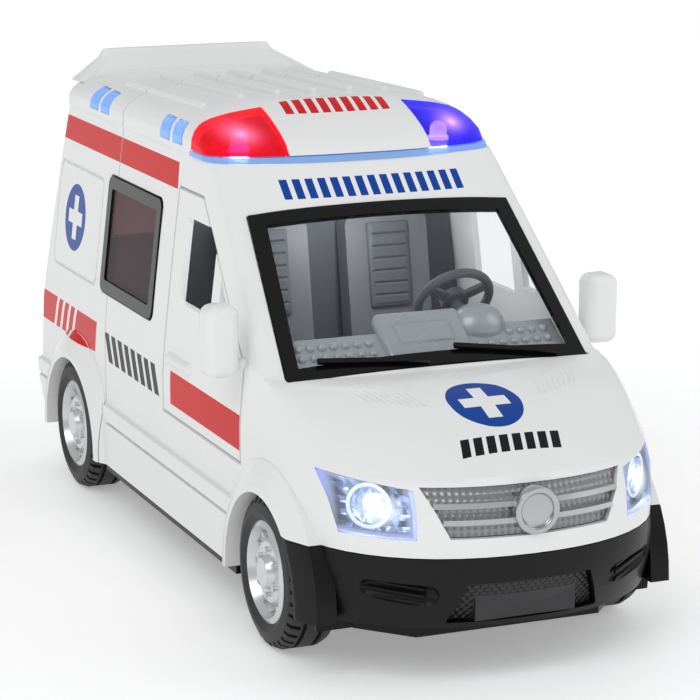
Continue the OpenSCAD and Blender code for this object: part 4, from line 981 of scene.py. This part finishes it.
@dataclass
class RoofLamps:
    """The red and blue lamps, their tray and diodes, and the blue side lights."""

    red: LitLens = LitLens("clear_red_plastic", (0.6, 0.001, 0.012), (1.0, 0.3, 0.62), (1.0, 0.06, 0.16))
    blue: LitLens = LitLens("clear_blue_plastic", (0.025, 0.012, 0.55), (0.85, 0.4, 1.0), (0.24, 0.2, 1.0))
    tray: Clear = Clear("tray_blue", (0.3, 0.52, 0.92), (0.6, 0.78, 1.0), 0.7, 0.16)
    side_light: Clear = Clear("side_light_blue", (0.25, 0.5, 0.95), (0.6, 0.8, 1.0), 0.7, 0.3)
    diode: Glow = Glow("roof_diode", (1.0, 0.75, 0.95), 26.0)
    angle: float = 45.0

    def build(self) -> None:
        """Builds the lenses as smooth copies and lights the diodes."""
        for colour, finish in (("red", self.red), ("blue", self.blue)):
            node = f"{colour}_lamp_lens"
            obj = smooth_copy(node, self.angle)
            settle(obj, node + "_clear", finish.look(node).material, node)
        dress("lamp_tray", self.tray.look().material)
        side_light = self.side_light.look().material
        for side in Side:
            dress(f"side_light_lenses_{side.word}", side_light)
        dress("roof_lamp_leds", self.diode.look().material)


@dataclass
class Headlights:
    """Clear headlights over plated bowls with lit diodes, with sizes in millimetres."""

    depth: float = 6.0
    inwards: float = 1.2
    angle: float = 40.0
    middle_x: float = 38.0
    middle_z: float = 47.6
    half_width: float = 10.0
    half_height: float = 8.6
    rim_from: float = 0.62
    rim_gain: float = 2.4
    halo_radius: float = 5.0
    clear_tone: Colour = (0.8, 0.88, 1.0)
    rim_tone: Colour = (0.1, 0.2, 1.0)
    tint: Colour = (0.95, 0.97, 1.0)
    strength: float = 0.8
    rim_share: float = 0.55
    halo_share: float = 0.4
    clear_share: float = 0.05
    cloud_scale: float = 80.0
    uneven: float = 0.05
    roughness: float = 0.03
    plated: Moulding = Moulding("plated_back", (0.4, 0.46, 0.62), 0.1, metallic=1.0)
    facet_width: float = 4.2
    facet_height: float = 3.1
    facet_relief: Relief = Relief(0.9, 0.0012)
    diode: Glow = Glow("headlight_diode", (0.75, 0.88, 1.0), 16.0)

    def lens_look(self) -> bpy.types.Material:
        """Makes the clear plastic with a blue glow at the rim and a halo before the diode.

        Returns:
            The material of both lenses.
        """
        look = Look("headlight_clear")
        wide = abs(abs(look.x) - self.middle_x) / self.half_width
        tall = abs(look.z - self.middle_z) / self.half_height
        rim = (((wide | tall) - self.rim_from) * self.rim_gain).at_least(0.0)
        low, high = box_mm("headlight_bowl_left")
        middle = (low + high) / 2.0
        off = distance(abs(look.x) - middle.x, look.z - middle.z)
        halo = (1.0 - off / self.halo_radius).at_least(0.0)
        tone = look.mix(rim, self.clear_tone, self.rim_tone)
        look.feed("Base Color", tone)
        look.feed("Roughness", look.noise(self.cloud_scale) * self.uneven + self.roughness)
        look.feed("Emission Color", tone)
        look.feed("Emission Strength", self.strength)
        look.see_through(self.tint, rim * self.rim_share + halo * self.halo_share + self.clear_share)
        return look.material

    def back(self, side: Side, material: bpy.types.Material) -> None:
        """Builds the faceted plated back of one headlight.

        Args:
            side: The headlight's side.
            material: The plated finish.
        """
        obj = smooth_copy(f"headlight_lens_{side.word}", self.angle)
        bpy.ops.object.mode_set(mode="EDIT")
        bpy.ops.mesh.select_all(action="SELECT")
        bpy.ops.transform.translate(value=(-side.value * self.inwards * MM, self.depth * MM, 0.0))
        bpy.ops.object.mode_set(mode="OBJECT")
        settle(obj, f"headlight_back_{side.word}", material)

    def build(self) -> None:
        """Builds the lenses and the plated backs, and lights the diodes."""
        lens = self.lens_look()
        plated = self.plated.look()
        facets = plated.x.wave(self.facet_width) * plated.z.wave(self.facet_height)
        plated.bump(facets, self.facet_relief)
        for side in Side:
            node = f"headlight_lens_{side.word}"
            settle(smooth_copy(node, self.angle), node + "_clear", lens, node)
            self.back(side, plated.material)
            dress(f"headlight_bowl_{side.word}", PALETTE.get("chrome"))
        dress("headlight_leds", self.diode.look().material)


@dataclass
class NoseTrim:
    """The black bumper with its mesh, and the silver grille with its ring, with sizes in millimetres."""

    angle: float = 34.0
    mesh: Moulding = Moulding("bumper_mesh_black", (0.02, 0.02, 0.022), 0.38)
    mesh_pitch: float = 2.0
    mesh_relief: Relief = Relief(0.9, 0.0008)
    pad_half: float = 14.2
    pad_height: float = 6.7
    silver: Moulding = Moulding("grille_silver", (0.42, 0.425, 0.435), 0.3, metallic=0.7)
    # the grid's darker tone is painted shade in its recesses
    grid_tone: Colour = (0.27, 0.275, 0.285)
    bar_tone: Colour = (0.52, 0.525, 0.54)
    grid_pitch: float = 1.7
    grid_relief: Relief = Relief(0.5, 0.0006)
    bar_half_share: float = 0.17
    ring_silver: Moulding = Moulding("ring_silver", (0.45, 0.455, 0.465), 0.22, metallic=0.85)
    ring_radius: float = 6.1
    ring_thick: float = 1.5
    ring_deep: float = 3.4
    ring_dish: float = 0.9
    ring_round: float = 0.35
    ring_vertices: int = 56
    sharp_angle: float = 30.0
    shade_angle: float = 50.0

    def bumper(self) -> None:
        """Builds the bumper and finishes its mesh, with a plain pad at the foot of the mesh."""
        node = "front_bumper"
        settle(smooth_copy(node, self.angle), node + "_moulding", PALETTE.get("black"), node)
        look = self.mesh.look()
        low, _ = box_mm("bumper_mesh")
        pad = (abs(look.x) < self.pad_half) & (look.z < low.z + self.pad_height)
        weave = (look.x + look.z).wave(self.mesh_pitch) * (look.x - look.z).wave(self.mesh_pitch)
        look.bump(weave & ~pad, self.mesh_relief)
        dress("bumper_mesh", look.material)

    def grille(self) -> None:
        """Builds the grille, with smooth bars at its thirds and a fine grid between them, painted darker
        than the bars as shade in its recesses.
        """
        node = "grille"
        low, high = box_mm(node)
        look = self.silver.look()
        third = (high.z - low.z) / 3.0
        half = third * self.bar_half_share
        foot, head = low.z + third, high.z - third
        bars = (abs(look.z - foot) < half) | (abs(look.z - head) < half)
        grid = look.x.wave(self.grid_pitch) * look.z.wave(self.grid_pitch)
        # painted shade: the grid between the bars is darker than the bars
        look.feed("Base Color", look.mix(bars, self.grid_tone, self.bar_tone))
        look.bump(grid & ~bars, self.grid_relief)
        settle(smooth_copy(node, self.angle), node + "_moulding", look.material, node)
        self.ring((low.z + high.z) / 2.0)

    def ring(self, height: float) -> None:
        """Builds the plain ring with a dished disc on the grille.

        Args:
            height: The ring's middle above the floor.
        """
        bpy.ops.object.select_all(action="DESELECT")
        bpy.ops.mesh.primitive_cylinder_add(vertices=self.ring_vertices, radius=self.ring_radius * MM,
                                            depth=self.ring_deep * MM)
        obj = bpy.context.object
        choose_top(obj)
        bpy.ops.mesh.inset(thickness=self.ring_thick * MM, depth=0.0)
        bpy.ops.mesh.inset(thickness=self.ring_round * MM, depth=-self.ring_dish * MM)
        bpy.ops.object.mode_set(mode="OBJECT")
        round_edges(obj, self.ring_round, self.sharp_angle)
        bpy.ops.object.shade_smooth_by_angle(angle=math.radians(self.shade_angle))
        place_on(obj, *touch("grille", (0.0, FAR_AHEAD, height), BACKWARDS))
        settle(obj, "grille_ring", self.ring_silver.look().material)

    def build(self) -> None:
        """Builds the bumper, the mesh, the grille and the ring."""
        self.bumper()
        self.grille()


@dataclass
class WindowTrim:
    """Glossy black frames of the windscreen and the side windows, and the wipers."""

    nodes: Sequence[str] = ("windscreen_frame", "side_window_frame_left", "side_window_frame_right",
                            "wipers")

    def build(self) -> None:
        """Finishes the frames and the wipers."""
        for node in self.nodes:
            dress(node, PALETTE.get("gloss_black"))


@dataclass
class Seats:
    """The two moulded seats with ribbed pads, with sizes in millimetres, and the bulkhead behind them."""

    plain: Moulding = Moulding("seat_grey", (0.15, 0.155, 0.165), 0.42, grain=Grain.LEATHERY)
    padded: Moulding = Moulding("seat_pad_grey", (0.1, 0.105, 0.115), 0.5, grain=Grain.LEATHERY)
    bulkhead: Moulding = Moulding("bulkhead_grey", (0.12, 0.125, 0.14), 0.45)
    pad_width: float = 13.0
    pad_thick: float = 2.6
    pad_round: float = 0.8
    round_segments: int = 3
    ribs: int = 7
    rib_edge: float = 0.6
    rib_rise: float = 0.5
    pad_share: float = 0.4
    pad_middle_share: float = 0.6
    shade_angle: float = 30.0

    def pad_form(self, tall: float) -> bpy.types.Object:
        """Models a ribbed pad, flat on its back at the origin.

        Args:
            tall: Its height on the seat.

        Returns:
            The pad.
        """
        obj = block((self.pad_width, tall, self.pad_thick), self.pad_round, self.round_segments)
        for cut in range(1, self.ribs):
            level = tall * (cut / self.ribs - 0.5) * MM
            choose_top(obj)
            bpy.ops.mesh.bisect(plane_co=(0.0, level, 0.0), plane_no=BACKWARDS)
            bpy.ops.object.mode_set(mode="OBJECT")
        choose_top(obj)
        bpy.ops.mesh.inset(thickness=self.rib_edge * MM, depth=self.rib_rise * MM, use_individual=True)
        bpy.ops.object.mode_set(mode="OBJECT")
        bpy.ops.object.shade_smooth_by_angle(angle=math.radians(self.shade_angle))
        return obj

    def build(self) -> None:
        """Finishes the seats and the bulkhead, and puts a ribbed pad on each seat's back."""
        plain = self.plain.look().material
        padded = self.padded.look().material
        low, high = box_mm("seat_left")
        tall = high.z - low.z
        first = self.pad_form(tall * self.pad_share)
        for side in Side:
            node = f"seat_{side.word}"
            dress(node, plain)
            low, high = box_mm(node)
            start = ((low.x + high.x) / 2.0, FAR_AHEAD, low.z + tall * self.pad_middle_share)
            pad = own_copy(first, node)
            place_on(pad, *touch(node, start, BACKWARDS))
            settle(pad, f"seat_pad_{side.word}", padded)
        bpy.data.objects.remove(first)
        dress("bulkhead", self.bulkhead.look().material)


@dataclass
class DashTrim:
    """The dashboard with its hood, instrument dome and two fields of buttons, with sizes in millimetres."""

    edge: float = 0.9
    flat_angle: float = 1.0
    copy_angle: float = 32.0
    sharp_angle: float = 35.0
    hood_width: float = 25.0
    hood_length: float = 16.0
    hood_thick: float = 4.4
    hood_proud: float = 1.1
    hood_round: float = 1.5
    hood_segments: int = 4
    hood_panel_in: float = 2.4
    hood_groove: float = 0.5
    hood_front_y: float = -71.0
    hood_rear_y: float = -64.0
    dome_radius: float = 7.0
    dome_segments: int = 48
    dome_wide: float = 1.2
    dome_skirt: float = 3.0
    dome_lean: float = -0.35
    dome_at: Place = (18.5, -62.0, 76.5)
    rows: int = 3
    columns: int = 7
    pitch: float = 3.4
    row_step: float = 3.2
    button_radius: float = 1.3
    button_segments: int = 12
    button_skirt: float = 0.4
    right_x: float = -36.5
    left_x: float = 15.5
    first_y: float = -74.0
    bump_angle: float = 50.0

    def bump_form(self, radius: float, skirt: float, segments: int) -> bpy.types.Object:
        """Models a domed bump with a short straight skirt, upright at the origin.

        Args:
            radius: The dome's radius.
            skirt: The skirt's height.
            segments: The number of segments round it.

        Returns:
            The bump.
        """
        bpy.ops.object.select_all(action="DESELECT")
        bpy.ops.mesh.primitive_uv_sphere_add(segments=segments, ring_count=segments // 2,
                                             radius=radius * MM)
        obj = bpy.context.object
        bpy.ops.object.mode_set(mode="EDIT")
        bpy.ops.mesh.select_all(action="SELECT")
        bpy.ops.mesh.bisect(plane_co=(0.0, 0.0, 0.0), plane_no=UP, clear_inner=True, use_fill=True)
        choose_faces(obj, lambda face: face.normal.z < -FLAT_ON_TOP)
        bpy.ops.mesh.extrude_region_move(TRANSFORM_OT_translate={"value": (0.0, 0.0, -skirt * MM)})
        bpy.ops.object.mode_set(mode="OBJECT")
        bpy.ops.object.shade_smooth_by_angle(angle=math.radians(self.bump_angle))
        return obj

    def board(self) -> None:
        """Builds the dashboard with rounded edges."""
        obj = smooth_copy("dashboard", self.copy_angle)
        bpy.ops.object.mode_set(mode="EDIT")
        bpy.ops.mesh.select_all(action="SELECT")
        bpy.ops.mesh.dissolve_limited(angle_limit=math.radians(self.flat_angle))
        bpy.ops.object.mode_set(mode="OBJECT")
        round_edges(obj, self.edge, self.sharp_angle)
        bpy.ops.object.shade_smooth_by_angle(angle=math.radians(self.sharp_angle))
        settle(obj, "dashboard_moulding", PALETTE.get("grey"), "dashboard")

    def hood(self) -> None:
        """Builds the rounded hood in the middle, with a groove round its panel."""
        front, normal = touch("dashboard", (0.0, self.hood_front_y, FAR_ABOVE), DOWN)
        rear, _ = touch("dashboard", (0.0, self.hood_rear_y, FAR_ABOVE), DOWN)
        size = (self.hood_width, self.hood_length, self.hood_thick)
        obj = block(size, self.hood_round, self.hood_segments)
        groove = self.hood_groove * MM
        choose_top(obj)
        bpy.ops.mesh.inset(thickness=self.hood_panel_in * MM, depth=0.0)
        bpy.ops.mesh.inset(thickness=groove, depth=-groove)
        bpy.ops.mesh.inset(thickness=groove, depth=groove)
        bpy.ops.object.mode_set(mode="OBJECT")
        rise = rear - front
        obj.rotation_euler = (math.atan2(rise.z, rise.y), 0.0, 0.0)
        obj.location = (front + rear) / 2.0 + normal * (self.hood_proud - self.hood_thick / 2.0) * MM
        bpy.ops.object.transform_apply(location=True, rotation=True)
        bpy.ops.object.shade_smooth_by_angle(angle=math.radians(self.sharp_angle))
        settle(obj, "console_hood", PALETTE.get("grey"))

    def dome(self) -> None:
        """Builds the wide dome over the instruments."""
        obj = self.bump_form(self.dome_radius, self.dome_skirt, self.dome_segments)
        obj.scale = (self.dome_wide, 1.0, 1.0)
        bpy.ops.object.transform_apply(scale=True)
        place_on(obj, Vector(self.dome_at) * MM, Vector((0.0, self.dome_lean, 1.0)))
        settle(obj, "instrument_dome", PALETTE.get("grey"))

    def buttons(self, name: str, start: float) -> None:
        """Builds one field of buttons on the dashboard's slope.

        Args:
            name: The piece's name.
            start: Where the first column stands across the van.
        """
        first = self.bump_form(self.button_radius, self.button_skirt, self.button_segments)
        copies = []
        for column in range(self.columns):
            for row in range(self.rows):
                above = (start + column * self.pitch, self.first_y + row * self.row_step, FAR_ABOVE)
                button = own_copy(first, name)
                place_on(button, *touch("dashboard", above, DOWN))
                copies.append(button)
        pick(copies[0])
        for button in copies:
            button.select_set(True)
        bpy.ops.object.join()
        settle(copies[0], name, PALETTE.get("grey"))
        bpy.data.objects.remove(first)

    def build(self) -> None:
        """Builds the dashboard and everything on it."""
        self.board()
        self.hood()
        self.dome()
        self.buttons("dash_buttons_right", self.right_x)
        self.buttons("dash_buttons_left", self.left_x)


@dataclass
class PlainNodes:
    """CAD nodes that need only a finish, from the record's slots."""

    def build(self) -> None:
        """Finishes every node that no class has dressed or replaced before."""
        for part in frame["record"]["subparts"]:
            if part["node"] not in finished:
                dress(part["node"], PALETTE.get(part["material_slot"]))


@dataclass(frozen=True)
class Lamp:
    """A soft light, with its place, its size in metres and its power in watts."""

    name: str
    place: Place
    size: float
    power: float
    kind: LightKind = LightKind.AREA
    hidden: bool = False

    def build(self, target: Place) -> None:
        """Adds the light.

        Args:
            target: The point that it faces.
        """
        data = bpy.data.lights.new(self.name, self.kind.value)
        data.energy = self.power
        if self.kind is LightKind.AREA:
            data.size = self.size
        else:
            data.shadow_soft_size = self.size / 2.0
        obj = bpy.data.objects.new(self.name, data)
        obj.location = self.place
        obj.rotation_euler = (Vector(target) - Vector(self.place)).to_track_quat("-Z", "Y").to_euler()
        bpy.context.scene.collection.objects.link(obj)
        if self.hidden:
            obj.visible_camera = False
            obj.visible_glossy = False
        obj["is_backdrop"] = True


@dataclass
class Studio:
    """The floor, the soft lights, the white surround and the camera, with sizes in metres."""

    camera_at: Place = (-0.29172, -0.71968, 0.23501)
    camera_way: Place = (0.37345, 0.90094, -0.22116)
    lens: float = 139.137
    sensor: float = 36.0
    nearest: float = 0.01
    farthest: float = 50.0
    pixels: int = 700
    target: Place = (0.0, 0.0, 0.06)
    lamps: Sequence[Lamp] = (
        Lamp("key", (-0.75, -0.75, 1.15), 0.9, 6.0),
        Lamp("fill", (0.95, -0.55, 0.7), 0.8, 2.2),
        Lamp("cab", (0.0, -0.022, 0.1), 0.012, 0.045, LightKind.POINT, hidden=True),
    )
    floor_size: float = 8.0
    floor_finish: Moulding = Moulding("pale_floor", (0.9, 0.9, 0.9), 0.6)
    floor_glow: float = 0.5
    shade_tone: Colour = (0.62, 0.62, 0.62)
    shade_from: float = 0.16
    shade_fade: float = 0.3
    seen_tone: Colour = FULL_WHITE
    seen_strength: float = 1.0
    light_tone: Colour = (0.97, 0.985, 1.0)
    light_strength: float = 0.56

    def floor(self) -> None:
        """Lays a plain pale floor that is a little darker near the van, as a painted shadow."""
        bpy.ops.object.select_all(action="DESELECT")
        bpy.ops.mesh.primitive_plane_add(size=self.floor_size)
        plane = bpy.context.object
        plane.name = "floor"
        look = self.floor_finish.look()
        # painted shadow: the floor's glow is darker near the van and fades to white further out
        far = (distance(look.x, look.y) / PER_METRE - self.shade_from) / self.shade_fade
        share = far.at_least(0.0).at_most(1.0)
        look.feed("Emission Color", look.mix(share, self.shade_tone, FULL_WHITE))
        look.feed("Emission Strength", self.floor_glow)
        wear(plane, look.material)
        plane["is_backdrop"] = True

    def surround(self) -> None:
        """Makes the surround white to the eye and softer as a light."""
        world = bpy.data.worlds.new("surround")
        bpy.context.scene.world = world
        world.use_nodes = True
        graph = Graph(world.node_tree)
        seen = graph.tree.nodes["Background"]
        graph.plug(seen.inputs[0], self.seen_tone)
        graph.plug(seen.inputs[1], self.seen_strength)
        light = graph.node("ShaderNodeBackground", values={0: self.light_tone, 1: self.light_strength})
        path = graph.node("ShaderNodeLightPath")
        values = {0: path.outputs["Is Camera Ray"], 1: light.outputs[0], 2: seen.outputs[0]}
        mix = graph.node("ShaderNodeMixShader", values=values)
        graph.plug(graph.tree.nodes["World Output"].inputs[0], mix.outputs[0])

    def camera(self) -> None:
        """Sets the camera to the view of the photograph."""
        data = bpy.data.cameras.new("camera")
        data.sensor_width = self.sensor
        data.lens = self.lens
        data.clip_start = self.nearest
        data.clip_end = self.farthest
        obj = bpy.data.objects.new("camera", data)
        obj.location = self.camera_at
        obj.rotation_euler = Vector(self.camera_way).to_track_quat("-Z", "Y").to_euler()
        scene = bpy.context.scene
        scene.collection.objects.link(obj)
        scene.camera = obj
        scene.render.resolution_x = self.pixels
        scene.render.resolution_y = self.pixels
        scene.render.resolution_percentage = 100
        scene.view_settings.view_transform = "Standard"

    def build(self) -> None:
        """Builds the whole studio."""
        self.floor()
        for lamp in self.lamps:
            lamp.build(self.target)
        self.surround()
        self.camera()


def size_report(name: str, store: Dict[str, Any]) -> None:
    """Keeps the object's bounds under a name.

    Args:
        name: What the bounds are of.
        store: The dictionary that they go into.
    """
    plain = json.dumps(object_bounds(), default=lambda v: v.tolist() if hasattr(v, "tolist") else list(v))
    store[name] = json.loads(plain)


def main() -> None:
    """Builds every sub-assembly in order."""
    sizes: Dict[str, Any] = {}
    size_report("after_load", sizes)
    parts = (BodyShell(), RoofLamps(), Headlights(), NoseTrim(), WindowTrim(), Seats(), DashTrim(),
             PlainNodes(), Studio())
    for part in parts:
        LOG.info("building %s", type(part).__name__)
        part.build()
    size_report("before_finish", sizes)


if __name__ == "__main__":
    main()
